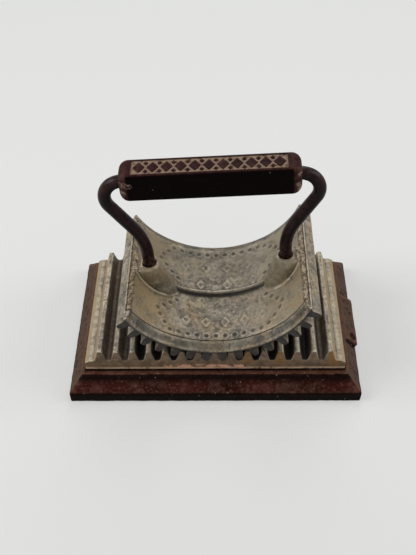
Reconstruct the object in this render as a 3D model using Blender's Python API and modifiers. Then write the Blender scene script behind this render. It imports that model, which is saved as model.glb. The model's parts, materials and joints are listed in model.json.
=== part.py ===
"""Hand fluting iron: a heavy base with a ribbed plate, and a rocker whose ribs roll in it.

Lengths are in metres and angles in degrees. The origin is the middle of the base's
underside, +Z is up and the front faces -Y. The rocker turns about its roll axis, which
runs along Y above the plate's middle. It rests turned by half a rib, so that two of its
ribs straddle the plate's middle rib.
"""
import math

import bmesh
import bpy
from mathutils import Matrix

# Fits
SEAM = 0.0003
OVERRUN = 0.002
WELD_DISTANCE = 0.000001
ARC_STEP_DEGREES = 3.0
ROUND_SIDES = 32
PIN_SIDES = 12
SMOOTH_DEGREES = 30.0
ROUNDED_DEGREES = 25.0

# Ribs of the plate and the rocker, which mesh as a rack and a gear
RIB_COUNT = 15
RIB_LENGTH = 0.0750
RIB_PITCH = 0.0084667
RIBS_IN_FULL_CIRCLE = 40
FLANK_DEGREES = 16.0
RIB_PLAY = 0.0006
RIB_CREST_ROUND = 0.00045
RIB_ROOT_ROUND = 0.0009
ROUND_STEPS = 3

# Ribbed plate
PLATE_STRIP_HEIGHT = 0.0060
PLATE_MARGIN = 0.00525
PLATE_RIB_ABOVE_PITCH = 0.0035
PLATE_RIB_BELOW_PITCH = 0.0030
PLATE_DRAFT_DEGREES = 6.0

# Base casting
BASE_HEIGHT = 0.0140
BASE_EDGE_HEIGHT = 0.0055
BASE_CHAMFER = 0.0070
BASE_FRONT_LAND = 0.003125
BASE_SIDE_LAND = 0.0017
BASE_EDGE_ROUND = 0.0009
PAD_LENGTH = 0.0325
PAD_OFFSET = -0.0003
PAD_HEIGHT = 0.0012
PAD_ROUND = 0.0005

# Screws that hold the plate down, from below
SCREW_RIB_INDEX = 6
SCREW_EDGE_DISTANCE = 0.0095
SCREW_RADIUS = 0.0020
SCREW_HEAD_RADIUS = 0.0036
SCREW_HEAD_RIM = 0.0005
SCREW_HEAD_HEIGHT = 0.0026
SCREW_HEAD_INSET = 0.0008
SCREW_BITE = 0.0042
SCREW_SLOT_WIDTH = 0.0009
SCREW_SLOT_DEPTH = 0.0008

# Ribbed segment under the rocker
ROCKER_RIB_ABOVE_PITCH = 0.0021
ROCKER_RIB_BELOW_PITCH = 0.0039
SEGMENT_WALL = 0.0008
SEGMENT_END_LEDGE_DEGREES = 0.25
LIP_WIDTH = 0.0055
LIP_STEP = 0.0003
LIP_SLOPE = 0.0017

# Saddle that lies in the segment
SADDLE_WALL = 0.0026
RIDGE_WIDTH = 0.0022
RIDGE_HEIGHT = 0.0018
BOSS_FROM_WALL = 0.0112
BOSS_HEIGHT = 0.0114
BOSS_OUTWARD = 0.0087
BOSS_TOP_INWARD = 0.0048
BOSS_FOOT_INWARD = 0.0128
BOSS_TOP_HALF_WIDTH = 0.0048
BOSS_FOOT_HALF_WIDTH = 0.0086
BOSS_LENGTH_POWER = 0.9
BOSS_WIDTH_POWER = 0.3
BOSS_STEPS = 8

# Pins between the saddle and the segment
PIN_RADIUS = 0.0010
PIN_BITE = 0.0016
PIN_INSET = 0.0001
PIN_TROUGHS = (1, 3, 5)

# Packing shim between the saddle and the segment
SHIM_THICKNESS = 0.0006
SHIM_DEPTH = 0.0400
SHIM_PLAY = 0.00025
SHIM_HALF_DEGREES = 8.0
SHIM_END_PLAY_DEGREES = 0.6

# Handle, measured up from the tops of the bosses
HANDLE_LEAN_DEGREES = 1.6
ROD_RADIUS = 0.003175
ROD_SOCKET_DEPTH = 0.0072
SHOULDER_HEIGHT = 0.0159
SHOULDER_RADIUS = 0.0320
CROOK_RADIUS = 0.0099
CROOK_INTO_GRIP = 0.0013
GRIP_CENTRE_HEIGHT = 0.0540
BEND_STEP_DEGREES = 9.0
ROD_BEVEL_RESOLUTION = 6

# Grip
GRIP_LENGTH = 0.0850
GRIP_WIDTH = 0.0137
GRIP_HEIGHT = 0.0153
GRIP_EDGE_ROUND = 0.0016
GRIP_DOME_LENGTH = 0.0046
GRIP_END_SHARE = 0.50
GRIP_DOME_STEPS = 5
PANEL_LENGTH = 0.0728
PANEL_WIDTH = 0.0100
PANEL_SINK = 0.0004

# Sizes worked out from those above
PITCH_RADIUS = RIB_PITCH * RIBS_IN_FULL_CIRCLE / math.tau
RIB_DEGREES = 360.0 / RIBS_IN_FULL_CIRCLE
REST_DEGREES = -RIB_DEGREES / 2
END_RIB_INDEX = (RIB_COUNT - 1) / 2
ROLL_HALF_DEGREES = (END_RIB_INDEX - 1) * RIB_DEGREES
FLANK_SLOPE = math.tan(math.radians(FLANK_DEGREES))

PLATE_BOTTOM = BASE_HEIGHT + SEAM
PLATE_ROOT = PLATE_BOTTOM + PLATE_STRIP_HEIGHT
PITCH_LINE = PLATE_ROOT + PLATE_RIB_BELOW_PITCH
PLATE_CREST = PITCH_LINE + PLATE_RIB_ABOVE_PITCH
PLATE_RIB_ROOT_WIDTH = RIB_PITCH / 2 + 2 * PLATE_RIB_BELOW_PITCH * FLANK_SLOPE
PLATE_LENGTH = 2 * (END_RIB_INDEX * RIB_PITCH + PLATE_MARGIN) + PLATE_RIB_ROOT_WIDTH
BASE_LENGTH = PLATE_LENGTH + 2 * (BASE_SIDE_LAND + BASE_CHAMFER)
BASE_DEPTH = RIB_LENGTH + 2 * (BASE_FRONT_LAND + BASE_CHAMFER)
SCREW_X = SCREW_RIB_INDEX * RIB_PITCH
SCREW_Y = RIB_LENGTH / 2 - SCREW_EDGE_DISTANCE
SCREW_TOP = PLATE_BOTTOM + SCREW_BITE

ROLL_AXIS_HEIGHT = PITCH_LINE + PITCH_RADIUS
ROCKER_TIP_RADIUS = PITCH_RADIUS + ROCKER_RIB_ABOVE_PITCH
ROCKER_ROOT_RADIUS = PITCH_RADIUS - ROCKER_RIB_BELOW_PITCH
SEGMENT_FLOOR_RADIUS = ROCKER_ROOT_RADIUS - SEGMENT_WALL
SADDLE_OUTER_RADIUS = SEGMENT_FLOOR_RADIUS - SEAM
SADDLE_RADIUS = SADDLE_OUTER_RADIUS - SADDLE_WALL
ROD_FOOT_X = SADDLE_RADIUS - BOSS_FROM_WALL
BOSS_TOP_BELOW_AXIS = math.sqrt(SADDLE_RADIUS ** 2 - ROD_FOOT_X ** 2) - BOSS_HEIGHT
BOSS_FOOT_BELOW_AXIS = math.sqrt(SADDLE_RADIUS ** 2 - (ROD_FOOT_X - BOSS_FOOT_INWARD) ** 2)
LIP_INNER_RADIUS = SADDLE_RADIUS + LIP_STEP
LIP_OUTER_RADIUS = LIP_INNER_RADIUS + LIP_SLOPE
SADDLE_HALF_DEPTH = RIB_LENGTH / 2 - LIP_WIDTH - SEAM
SHIM_OUTER_RADIUS = SEGMENT_FLOOR_RADIUS - SHIM_PLAY
SHIM_INNER_RADIUS = SHIM_OUTER_RADIUS - SHIM_THICKNESS
POCKET_RADIUS = SHIM_INNER_RADIUS - SHIM_PLAY
POCKET_HALF_DEPTH = SHIM_DEPTH / 2 + SEAM
POCKET_HALF_DEGREES = ROLL_HALF_DEGREES + SHIM_HALF_DEGREES + SHIM_END_PLAY_DEGREES
SADDLE_CORE_RADIUS = (SADDLE_RADIUS + POCKET_RADIUS) / 2
PIN_Y = (POCKET_HALF_DEPTH + SADDLE_HALF_DEPTH) / 2
PIN_OUTER_RADIUS = ROCKER_ROOT_RADIUS - PIN_INSET
PIN_INNER_RADIUS = SADDLE_OUTER_RADIUS - PIN_BITE


def clear_scene():
    """Remove every object that is there."""
    for thing in list(bpy.data.objects):
        bpy.data.objects.remove(thing, do_unlink=True)


def collection(name):
    """A new collection in the scene."""
    made = bpy.data.collections.new(name)
    bpy.context.scene.collection.children.link(made)
    return made


def material(name, colour, roughness, metallic):
    """A plain Principled material."""
    made = bpy.data.materials.new(name)
    made.use_nodes = True
    shader = made.node_tree.nodes["Principled BSDF"]
    shader.inputs["Base Color"].default_value = (*colour, 1.0)
    shader.inputs["Roughness"].default_value = roughness
    shader.inputs["Metallic"].default_value = metallic
    made.diffuse_color = (*colour, 1.0)
    return made


def place(name, mesh, finish, parent=None):
    """One piece of the iron, as an object in the iron's collection."""
    piece = bpy.data.objects.new(name, mesh)
    mesh.materials.clear()
    mesh.materials.append(finish)
    PIECES.objects.link(piece)
    piece.parent = parent
    return piece


def guide(name, mesh, parent=None):
    """A solid that only cuts, trims or adds to a piece."""
    made = bpy.data.objects.new(name, mesh)
    made.hide_render = True
    made.display_type = "WIRE"
    GUIDES.objects.link(made)
    made.parent = parent
    return made


def apply_boolean(piece, tool, operation):
    """Add a Boolean modifier that cuts, joins or trims the piece with the tool."""
    step = piece.modifiers.new(tool.name, "BOOLEAN")
    step.object = tool
    step.operation = operation


def round_edges(piece, width):
    """Add a Bevel modifier that rounds the edges between flat faces."""
    rounding = piece.modifiers.new("edges", "BEVEL")
    rounding.width = width
    rounding.segments = 2
    rounding.limit_method = "ANGLE"
    rounding.angle_limit = math.radians(ROUNDED_DEGREES)


def shade(piece, degrees=SMOOTH_DEGREES):
    """Smooth shading that keeps edges sharper than the angle."""
    piece.data.shade_smooth()
    piece.data.set_sharp_from_angle(angle=math.radians(degrees))


def solid_mesh(bm, name):
    """Weld a bmesh, turn its faces outwards and make it a mesh."""
    bmesh.ops.remove_doubles(bm, verts=bm.verts, dist=WELD_DISTANCE)
    bmesh.ops.recalc_face_normals(bm, faces=bm.faces)
    mesh = bpy.data.meshes.new(name)
    bm.to_mesh(mesh)
    bm.free()
    return mesh


def mesh_of_curve(name, curve):
    """The welded mesh of a curve."""
    carrier = bpy.data.objects.new(name, curve)
    bpy.context.scene.collection.objects.link(carrier)
    graph = bpy.context.evaluated_depsgraph_get()
    loose = bpy.data.meshes.new_from_object(carrier.evaluated_get(graph))
    bpy.data.objects.remove(carrier)
    bm = bmesh.new()
    bm.from_mesh(loose)
    return solid_mesh(bm, name)


def extruded(name, outline, depth):
    """A flat outline in X and Z, extruded by half the depth to either side of Y = 0."""
    curve = bpy.data.curves.new(name, "CURVE")
    curve.dimensions = "2D"
    curve.fill_mode = "BOTH"
    curve.extrude = depth / 2
    spline = curve.splines.new("POLY")
    spline.points.add(len(outline) - 1)
    for point, (x, z) in zip(spline.points, outline):
        point.co = (x, z, 0, 1)
    spline.use_cyclic_u = True
    mesh = mesh_of_curve(name, curve)
    mesh.transform(Matrix.Rotation(math.radians(90), 4, "X"))
    return mesh


def cylinder(radius, bottom, top, x=0, sides=ROUND_SIDES):
    """An upright round bar between two heights."""
    bm = bmesh.new()
    centre = Matrix.Translation((x, 0, (bottom + top) / 2))
    bmesh.ops.create_cone(bm, cap_ends=True, segments=sides, radius1=radius, radius2=radius,
                          depth=top - bottom, matrix=centre)
    return bm


def box(name, size, centre):
    """A box of a size about a centre."""
    bm = bmesh.new()
    bmesh.ops.create_cube(bm, size=1, matrix=Matrix.Translation(centre) @ Matrix.Diagonal((*size, 1)))
    return solid_mesh(bm, name)


def joined(meshes, name):
    """Several separate solids as one mesh."""
    bm = bmesh.new()
    for mesh in meshes:
        bm.from_mesh(mesh)
    return solid_mesh(bm, name)


def turned(name, profile, sides=ROUND_SIDES):
    """A profile of radius and height, listed from top to bottom, turned about Z."""
    mesh = bpy.data.meshes.new(name)
    edges = [(i, i + 1) for i in range(len(profile) - 1)]
    mesh.from_pydata([(radius, 0, height) for radius, height in profile], edges, [])
    carrier = bpy.data.objects.new(name, mesh)
    bpy.context.scene.collection.objects.link(carrier)
    screw = carrier.modifiers.new("turn", "SCREW")
    screw.steps = sides
    screw.render_steps = sides
    screw.use_merge_vertices = True
    screw.merge_threshold = WELD_DISTANCE
    graph = bpy.context.evaluated_depsgraph_get()
    loose = bpy.data.meshes.new_from_object(carrier.evaluated_get(graph))
    bpy.data.objects.remove(carrier)
    bm = bmesh.new()
    bm.from_mesh(loose)
    return solid_mesh(bm, name)


def polar(radius, degrees):
    """A point at an angle from straight below the roll axis, towards +X."""
    angle = math.radians(degrees)
    return radius * math.sin(angle), -radius * math.cos(angle)


def arc(radius, start, stop):
    """Points along an arc about the roll axis."""
    steps = max(1, round(abs(stop - start) / ARC_STEP_DEGREES))
    return [polar(radius, start + (stop - start) * i / steps) for i in range(steps + 1)]


def arc_band(name, inner, outer, half_degrees, depth):
    """A curved strip about the roll axis."""
    outline = arc(inner, -half_degrees, half_degrees) + arc(outer, half_degrees, -half_degrees)
    return extruded(name, outline, depth)


def quarter_round(radius):
    """Distances out and up around a rounded inner corner, from its floor to its wall."""
    turns = [math.radians(90 * i / ROUND_STEPS) for i in range(ROUND_STEPS + 1)]
    return [(radius * (1 - math.sin(turn)), radius * (1 - math.cos(turn))) for turn in turns]


def plate_flank(height):
    """Half the width of a plate rib at a height."""
    return RIB_PITCH / 4 + (PITCH_LINE - height) * FLANK_SLOPE


def plate_outline():
    """The plate's section, with its ribs on top."""
    half = PLATE_LENGTH / 2
    outline = [(half, PLATE_BOTTOM), (-half, PLATE_BOTTOM), (-half, PLATE_ROOT)]
    rise = [(plate_flank(PLATE_ROOT + up) + out, PLATE_ROOT + up)
            for out, up in quarter_round(RIB_ROOT_ROUND)]
    rise += [(plate_flank(PLATE_CREST - down) - back, PLATE_CREST - down)
             for back, down in reversed(quarter_round(RIB_CREST_ROUND))]
    for index in range(RIB_COUNT):
        centre = (index - END_RIB_INDEX) * RIB_PITCH
        outline += [(centre - half_width, height) for half_width, height in rise]
        outline += [(centre + half_width, height) for half_width, height in reversed(rise)]
    outline.append((half, PLATE_ROOT))
    return outline


def involute(degrees):
    """The involute function, in radians."""
    angle = math.radians(degrees)
    return math.tan(angle) - angle


def rocker_flank(radius):
    """Half the angle of a rocker rib at a radius, in degrees."""
    base = PITCH_RADIUS * math.cos(math.radians(FLANK_DEGREES))
    pressure = math.degrees(math.acos(min(1, base / radius)))
    at_pitch = (RIB_PITCH / 2 - RIB_PLAY) / (2 * PITCH_RADIUS)
    return math.degrees(at_pitch + involute(FLANK_DEGREES) - involute(pressure))


def rocker_rib():
    """Half angles and radii of a rocker rib, from its root to its crest."""
    rise = []
    for out, up in quarter_round(RIB_ROOT_ROUND):
        radius = ROCKER_ROOT_RADIUS + up
        rise.append((rocker_flank(radius) + math.degrees(out / radius), radius))
    lowest = rise[-1][1]
    highest = ROCKER_TIP_RADIUS - RIB_CREST_ROUND
    for step in range(1, ROUND_STEPS):
        radius = lowest + (highest - lowest) * step / ROUND_STEPS
        rise.append((rocker_flank(radius), radius))
    for back, down in reversed(quarter_round(RIB_CREST_ROUND)):
        radius = ROCKER_TIP_RADIUS - down
        rise.append((rocker_flank(radius) - math.degrees(back / radius), radius))
    return rise


def end_degrees():
    """The angle of the rocker's end faces."""
    return END_RIB_INDEX * RIB_DEGREES + rocker_rib()[0][0] + SEGMENT_END_LEDGE_DEGREES


def segment_outline():
    """The blank of the ribbed segment, before its tray is cut."""
    rise = rocker_rib()
    end = end_degrees()
    outline = arc(SADDLE_RADIUS, end, -end) + [polar(ROCKER_ROOT_RADIUS, -end)]
    for index in range(RIB_COUNT):
        centre = (index - END_RIB_INDEX) * RIB_DEGREES
        outline += [polar(radius, centre - half) for half, radius in rise]
        outline += [polar(radius, centre + half) for half, radius in reversed(rise)]
    return outline + [polar(ROCKER_ROOT_RADIUS, end)]


def base_casting(finish):
    """The base: a slab with sloped sides, a low pad on its right side and screw holes."""
    bm = bmesh.new()
    slab = Matrix.Translation((0, 0, BASE_EDGE_HEIGHT / 2))
    slab @= Matrix.Diagonal((BASE_LENGTH, BASE_DEPTH, BASE_EDGE_HEIGHT, 1))
    bmesh.ops.create_cube(bm, size=1, matrix=slab)
    top = max(bm.faces, key=lambda face: face.calc_center_median().z)
    raised = bmesh.ops.extrude_discrete_faces(bm, faces=[top])["faces"][0]
    for vert in raised.verts:
        vert.co.x -= math.copysign(BASE_CHAMFER, vert.co.x)
        vert.co.y -= math.copysign(BASE_CHAMFER, vert.co.y)
        vert.co.z = BASE_HEIGHT
    base = place("base_casting", solid_mesh(bm, "base_casting"), finish)
    round_edges(base, BASE_EDGE_ROUND)

    side = BASE_LENGTH / 2
    land = side - BASE_CHAMFER
    outline = [(land - OVERRUN, BASE_EDGE_HEIGHT), (side - BASE_EDGE_ROUND, BASE_EDGE_HEIGHT),
               (side + PAD_HEIGHT, BASE_EDGE_HEIGHT + BASE_EDGE_ROUND),
               (side + PAD_HEIGHT, BASE_EDGE_HEIGHT + BASE_EDGE_ROUND + PAD_HEIGHT),
               (land + PAD_HEIGHT, BASE_HEIGHT - SEAM), (land - OVERRUN, BASE_HEIGHT - SEAM)]
    pad = guide("side_pad", extruded("side_pad", outline, PAD_LENGTH))
    pad.location.y = PAD_OFFSET
    round_edges(pad, PAD_ROUND)
    apply_boolean(base, pad, "UNION")
    apply_boolean(base, screw_holes("base_screw_holes"), "DIFFERENCE")
    shade(base)


def screw_profile(spare):
    """A flat-headed screw's radii and heights, top to bottom, grown by a spare gap."""
    head = -OVERRUN if spare else SCREW_HEAD_INSET
    rim = SCREW_HEAD_INSET + SCREW_HEAD_RIM
    neck = SCREW_HEAD_INSET + SCREW_HEAD_HEIGHT
    return [(0, SCREW_TOP + spare), (SCREW_RADIUS + spare, SCREW_TOP + spare),
            (SCREW_RADIUS + spare, neck + spare), (SCREW_HEAD_RADIUS + spare, rim + spare),
            (SCREW_HEAD_RADIUS + spare, head), (0, head)]


def screw_places():
    """Where the plate screws stand."""
    return [(x, y) for x in (-SCREW_X, SCREW_X) for y in (-SCREW_Y, SCREW_Y)]


def screw_holes(name):
    """The holes for all the plate screws, as one cutter."""
    holes = []
    for x, y in screw_places():
        hole = turned(name, screw_profile(SEAM))
        hole.transform(Matrix.Translation((x, y, 0)))
        holes.append(hole)
    return guide(name, joined(holes, name))


def plate_screws(finish):
    """Four slotted flat-headed screws, driven up through the base."""
    size = (2 * SCREW_HEAD_RADIUS + OVERRUN, SCREW_SLOT_WIDTH, 2 * SCREW_SLOT_DEPTH)
    slots = [box("slot", size, (x, y, SCREW_HEAD_INSET)) for x, y in screw_places()]
    slots = guide("screw_slots", joined(slots, "screw_slots"))
    mesh = turned("plate_screw", screw_profile(0))
    for number, (x, y) in enumerate(screw_places(), 1):
        screw = place(f"plate_screw_{number}", mesh, finish)
        screw.location.xy = x, y
        apply_boolean(screw, slots, "DIFFERENCE")
        shade(screw)


def flute_plate(finish):
    """The ribbed plate, with its ends drafted and blind holes for its screws."""
    mesh = extruded("flute_plate", plate_outline(), RIB_LENGTH)
    draft = math.tan(math.radians(PLATE_DRAFT_DEGREES))
    for vert in mesh.vertices:
        vert.co.y -= math.copysign((vert.co.z - PLATE_BOTTOM) * draft, vert.co.y)
    plate = place("flute_plate", mesh, finish)
    apply_boolean(plate, screw_holes("plate_screw_holes"), "DIFFERENCE")
    shade(plate)


def pin_places():
    """The turn about the roll axis, in radians, and the Y of each pin."""
    turns = [side * math.radians((trough + 0.5) * RIB_DEGREES)
             for side in (1, -1) for trough in PIN_TROUGHS]
    return [(turn, y) for turn in turns for y in (-PIN_Y, PIN_Y)]


def pin_bar(name, spare):
    """A pin below the roll axis, or with a spare gap the bar that cuts its hole."""
    outer = PIN_OUTER_RADIUS + (OVERRUN if spare else 0)
    bar = cylinder(PIN_RADIUS + spare, -outer, spare - PIN_INNER_RADIUS, sides=PIN_SIDES)
    return solid_mesh(bar, name)


def pin_holes(name, axis):
    """The holes for all the pins, as one cutter."""
    holes = []
    for turn, y in pin_places():
        hole = pin_bar(name, SEAM)
        hole.transform(Matrix.Translation((0, y, 0)) @ Matrix.Rotation(turn, 4, "Y"))
        holes.append(hole)
    return guide(name, joined(holes, name), axis)


def flute_segment(finish, axis):
    """The rocker's ribbed segment: a curved tray with a sloped lip at the front and back."""
    blank = extruded("flute_segment", segment_outline(), RIB_LENGTH)
    segment = place("flute_segment", blank, finish, axis)
    front = RIB_LENGTH / 2
    shoulder = SADDLE_HALF_DEPTH + SEAM
    past = front + OVERRUN
    past_radius = LIP_OUTER_RADIUS + LIP_SLOPE / LIP_WIDTH * OVERRUN
    half = [(LIP_INNER_RADIUS, shoulder), (SEGMENT_FLOOR_RADIUS, shoulder)]
    profile = [(0, past), (past_radius, past)] + half
    profile += [(radius, -height) for radius, height in reversed(half)]
    profile += [(past_radius, -past), (0, -past)]
    tray = turned("tray", profile, round(360 / ARC_STEP_DEGREES))
    tray.transform(Matrix.Rotation(math.radians(90), 4, "X"))
    apply_boolean(segment, guide("tray", tray, axis), "DIFFERENCE")
    apply_boolean(segment, pin_holes("segment_pin_holes", axis), "DIFFERENCE")
    shade(segment)


def segment_pins(finish, axis):
    """Short pins that hold the segment to the saddle, two in each of six troughs."""
    mesh = pin_bar("segment_pin", 0)
    for number, (turn, y) in enumerate(pin_places(), 1):
        pin = place(f"segment_pin_{number:02d}", mesh, finish, axis)
        pin.location.y = y
        pin.rotation_euler.y = turn
        shade(pin)


def boss(side):
    """A boss under one foot of the rod: an oval lump that swells from its top down, mostly inwards."""
    depth = BOSS_FOOT_BELOW_AXIS - BOSS_TOP_BELOW_AXIS
    heights = [-BOSS_TOP_BELOW_AXIS - depth * (step / BOSS_STEPS) ** 2 for step in range(BOSS_STEPS + 1)]
    profile = [(0, heights[0])] + [(1, height) for height in heights]
    mesh = turned("boss", profile + [(1, -SADDLE_OUTER_RADIUS), (0, -SADDLE_OUTER_RADIUS)])
    for vert in mesh.vertices:
        share = min(1, max(0, (heights[0] - vert.co.z) / depth))
        inward = BOSS_TOP_INWARD + (BOSS_FOOT_INWARD - BOSS_TOP_INWARD) * share ** BOSS_LENGTH_POWER
        half_width = (BOSS_TOP_HALF_WIDTH
                      + (BOSS_FOOT_HALF_WIDTH - BOSS_TOP_HALF_WIDTH) * share ** BOSS_WIDTH_POWER)
        middle, half_length = (BOSS_OUTWARD - inward) / 2, (BOSS_OUTWARD + inward) / 2
        vert.co.x = side * (ROD_FOOT_X + middle) + half_length * vert.co.x
        vert.co.y *= half_width
    return mesh


def rocker_saddle(finish, axis, handle):
    """The saddle: a curved shell with two bosses, a ridge between them and its cut-outs."""
    end = end_degrees()
    shell = arc_band("rocker_saddle", SADDLE_RADIUS, SADDLE_OUTER_RADIUS, end, 2 * SADDLE_HALF_DEPTH)
    saddle = place("rocker_saddle", shell, finish, axis)
    trim = arc(SADDLE_CORE_RADIUS, -180, 180)[:-1]
    trim = guide("boss_trim", extruded("boss_trim", trim, RIB_LENGTH), axis)
    for side, name in ((-1, "left_boss"), (1, "right_boss")):
        lump = guide(name, boss(side), axis)
        apply_boolean(lump, trim, "INTERSECT")
        apply_boolean(saddle, lump, "UNION")
    reach = math.degrees(math.asin((ROD_FOOT_X - BOSS_FOOT_INWARD / 2) / SADDLE_CORE_RADIUS))
    ridge = arc_band("ridge", SADDLE_RADIUS - RIDGE_HEIGHT, SADDLE_CORE_RADIUS, reach, RIDGE_WIDTH)
    apply_boolean(saddle, guide("ridge", ridge, axis), "UNION")

    pocket = arc_band("shim_pocket", POCKET_RADIUS, SADDLE_OUTER_RADIUS + OVERRUN,
                      POCKET_HALF_DEGREES, 2 * POCKET_HALF_DEPTH)
    apply_boolean(saddle, guide("shim_pocket", pocket, axis), "DIFFERENCE")
    apply_boolean(saddle, pin_holes("saddle_pin_holes", axis), "DIFFERENCE")
    sockets = [solid_mesh(cylinder(ROD_RADIUS + SEAM, -ROD_SOCKET_DEPTH - SEAM, OVERRUN,
                                   side * ROD_FOOT_X), "socket") for side in (-1, 1)]
    apply_boolean(saddle, guide("rod_sockets", joined(sockets, "rod_sockets"), handle), "DIFFERENCE")
    shade(saddle)


def packing_shim(finish, carriage):
    """A thin curved strip between the saddle and the segment."""
    strip = arc_band("packing_shim", SHIM_INNER_RADIUS, SHIM_OUTER_RADIUS, SHIM_HALF_DEGREES, SHIM_DEPTH)
    shade(place("packing_shim", strip, finish, carriage))


def filleted_path(corners):
    """Points along straight runs whose corners are rounded, each corner given as x, z, radius."""
    points = []
    for index, (x, z, radius) in enumerate(corners):
        if not radius:
            points.append((x, z))
            continue
        before, after = corners[index - 1], corners[index + 1]
        into = math.atan2(z - before[1], x - before[0])
        out = math.atan2(after[1] - z, after[0] - x)
        turn = (out - into + math.pi) % math.tau - math.pi
        reach = radius * math.tan(abs(turn) / 2)
        start = (x - reach * math.cos(into), z - reach * math.sin(into))
        steps = max(2, round(abs(math.degrees(turn)) / BEND_STEP_DEGREES))
        side = math.copysign(1, turn)
        centre = (start[0] - side * radius * math.sin(into), start[1] + side * radius * math.cos(into))
        for step in range(steps + 1):
            angle = into + turn * step / steps
            points.append((centre[0] + side * radius * math.sin(angle),
                           centre[1] - side * radius * math.cos(angle)))
    return points


def crook_corner():
    """The X where the rod's sloping run, drawn on, meets the middle line of the grip."""
    across = GRIP_LENGTH / 2 - CROOK_INTO_GRIP - ROD_FOOT_X
    up = GRIP_CENTRE_HEIGHT - CROOK_RADIUS - SHOULDER_HEIGHT
    slope = math.atan2(across, up) + math.asin(CROOK_RADIUS / math.hypot(across, up))
    return ROD_FOOT_X + (GRIP_CENTRE_HEIGHT - SHOULDER_HEIGHT) * math.tan(slope)


def handle_bail(finish, handle):
    """The bent rod that carries the grip, with its feet in the bosses."""
    half = [(ROD_FOOT_X, -ROD_SOCKET_DEPTH, 0), (ROD_FOOT_X, SHOULDER_HEIGHT, SHOULDER_RADIUS),
            (crook_corner(), GRIP_CENTRE_HEIGHT, CROOK_RADIUS)]
    corners = [(-x, z, radius) for x, z, radius in half] + half[::-1]
    path = filleted_path(corners)
    curve = bpy.data.curves.new("handle_bail", "CURVE")
    curve.dimensions = "3D"
    curve.bevel_depth = ROD_RADIUS
    curve.bevel_resolution = ROD_BEVEL_RESOLUTION
    curve.use_fill_caps = True
    spline = curve.splines.new("POLY")
    spline.points.add(len(path) - 1)
    for point, (x, z) in zip(spline.points, path):
        point.co = (x, 0, z, 1)
    shade(place("handle_bail", mesh_of_curve("handle_bail", curve), finish, handle))


def handle_grip(finish, handle):
    """The grip: a square bar with rounded edges and domed ends, bored for the rod."""
    bm = bmesh.new()
    straight = GRIP_LENGTH - 2 * GRIP_DOME_LENGTH
    bmesh.ops.create_cube(bm, size=1, matrix=Matrix.Diagonal((straight, GRIP_WIDTH, GRIP_HEIGHT, 1)))
    long_edges = [edge for edge in bm.edges
                  if abs(edge.verts[0].co.x - edge.verts[1].co.x) > straight / 2]
    bmesh.ops.bevel(bm, geom=long_edges, offset=GRIP_EDGE_ROUND, segments=ROUND_STEPS, profile=0.5,
                    affect="EDGES")
    for side in (-1, 1):
        cap = max(bm.faces, key=lambda face: side * face.calc_center_median().x)
        share_before = 1
        for step in range(1, GRIP_DOME_STEPS + 1):
            angle = math.radians(90 * step / GRIP_DOME_STEPS)
            share = GRIP_END_SHARE + (1 - GRIP_END_SHARE) * math.cos(angle)
            cap = bmesh.ops.extrude_discrete_faces(bm, faces=[cap])["faces"][0]
            for vert in cap.verts:
                vert.co.x = side * (straight / 2 + GRIP_DOME_LENGTH * math.sin(angle))
                vert.co.y *= share / share_before
                vert.co.z *= share / share_before
            share_before = share
    mesh = solid_mesh(bm, "handle_grip")
    mesh.transform(Matrix.Translation((0, 0, GRIP_CENTRE_HEIGHT)))
    grip = place("handle_grip", mesh, finish, handle)

    bore = solid_mesh(cylinder(ROD_RADIUS + SEAM, -GRIP_LENGTH, GRIP_LENGTH), "grip_bore")
    lying = Matrix.Rotation(math.radians(90), 4, "Y")
    bore.transform(Matrix.Translation((0, 0, GRIP_CENTRE_HEIGHT)) @ lying)
    apply_boolean(grip, guide("grip_bore", bore, handle), "DIFFERENCE")
    top = GRIP_CENTRE_HEIGHT + GRIP_HEIGHT / 2
    panel = box("grip_panel", (PANEL_LENGTH, PANEL_WIDTH, 2 * PANEL_SINK), (0, 0, top))
    apply_boolean(grip, guide("grip_panel", panel, handle), "DIFFERENCE")
    shade(grip)


def empty(name, parent=None, z=0, degrees=0):
    """An axis: an empty at a height above its parent, turned about Y."""
    made = bpy.data.objects.new(name, None)
    PIECES.objects.link(made)
    made.parent = parent
    made.location.z = z
    made.rotation_euler.y = math.radians(degrees)
    return made


def build():
    """Model every piece in its place."""
    paint = material("base_paint", (0.060, 0.022, 0.020), 0.55, 0.0)
    worn_iron = material("worn_iron", (0.24, 0.21, 0.16), 0.45, 0.8)
    grip_paint = material("grip_paint", (0.030, 0.010, 0.010), 0.45, 0.0)
    rod_iron = material("rod_iron", (0.035, 0.018, 0.016), 0.45, 0.4)
    steel = material("screw_steel", (0.20, 0.19, 0.18), 0.45, 1.0)
    brass = material("shim_brass", (0.55, 0.36, 0.12), 0.4, 1.0)

    roll_axis = empty("roll_axis", None, ROLL_AXIS_HEIGHT)
    rocker_axis = empty("rocker_axis", roll_axis, 0, REST_DEGREES)
    handle_axis = empty("handle_axis", rocker_axis, -BOSS_TOP_BELOW_AXIS, HANDLE_LEAN_DEGREES)

    base_casting(paint)
    flute_plate(worn_iron)
    plate_screws(steel)
    packing_shim(brass, roll_axis)
    rocker_saddle(worn_iron, rocker_axis, handle_axis)
    flute_segment(worn_iron, rocker_axis)
    segment_pins(steel, rocker_axis)
    handle_bail(rod_iron, handle_axis)
    handle_grip(grip_paint, handle_axis)


clear_scene()
PIECES = collection("fluting_iron")
GUIDES = collection("guides")
build()
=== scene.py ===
"""Looks of an old hand fluting iron: worn castings, a painted base and handle, and its stage.

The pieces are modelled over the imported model, which gives the places of the base, the plate
and the roll axis. The rocker's pieces are modelled upright about the roll axis, and the
handle's from the tops of the bosses. Both are then laid in their resting place. Lengths are
in metres.
"""

import json
import math

import bmesh
import bpy
import numpy as np
from bpy.props import FloatProperty, FloatVectorProperty, PointerProperty
from mathutils import Matrix, Vector


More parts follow.
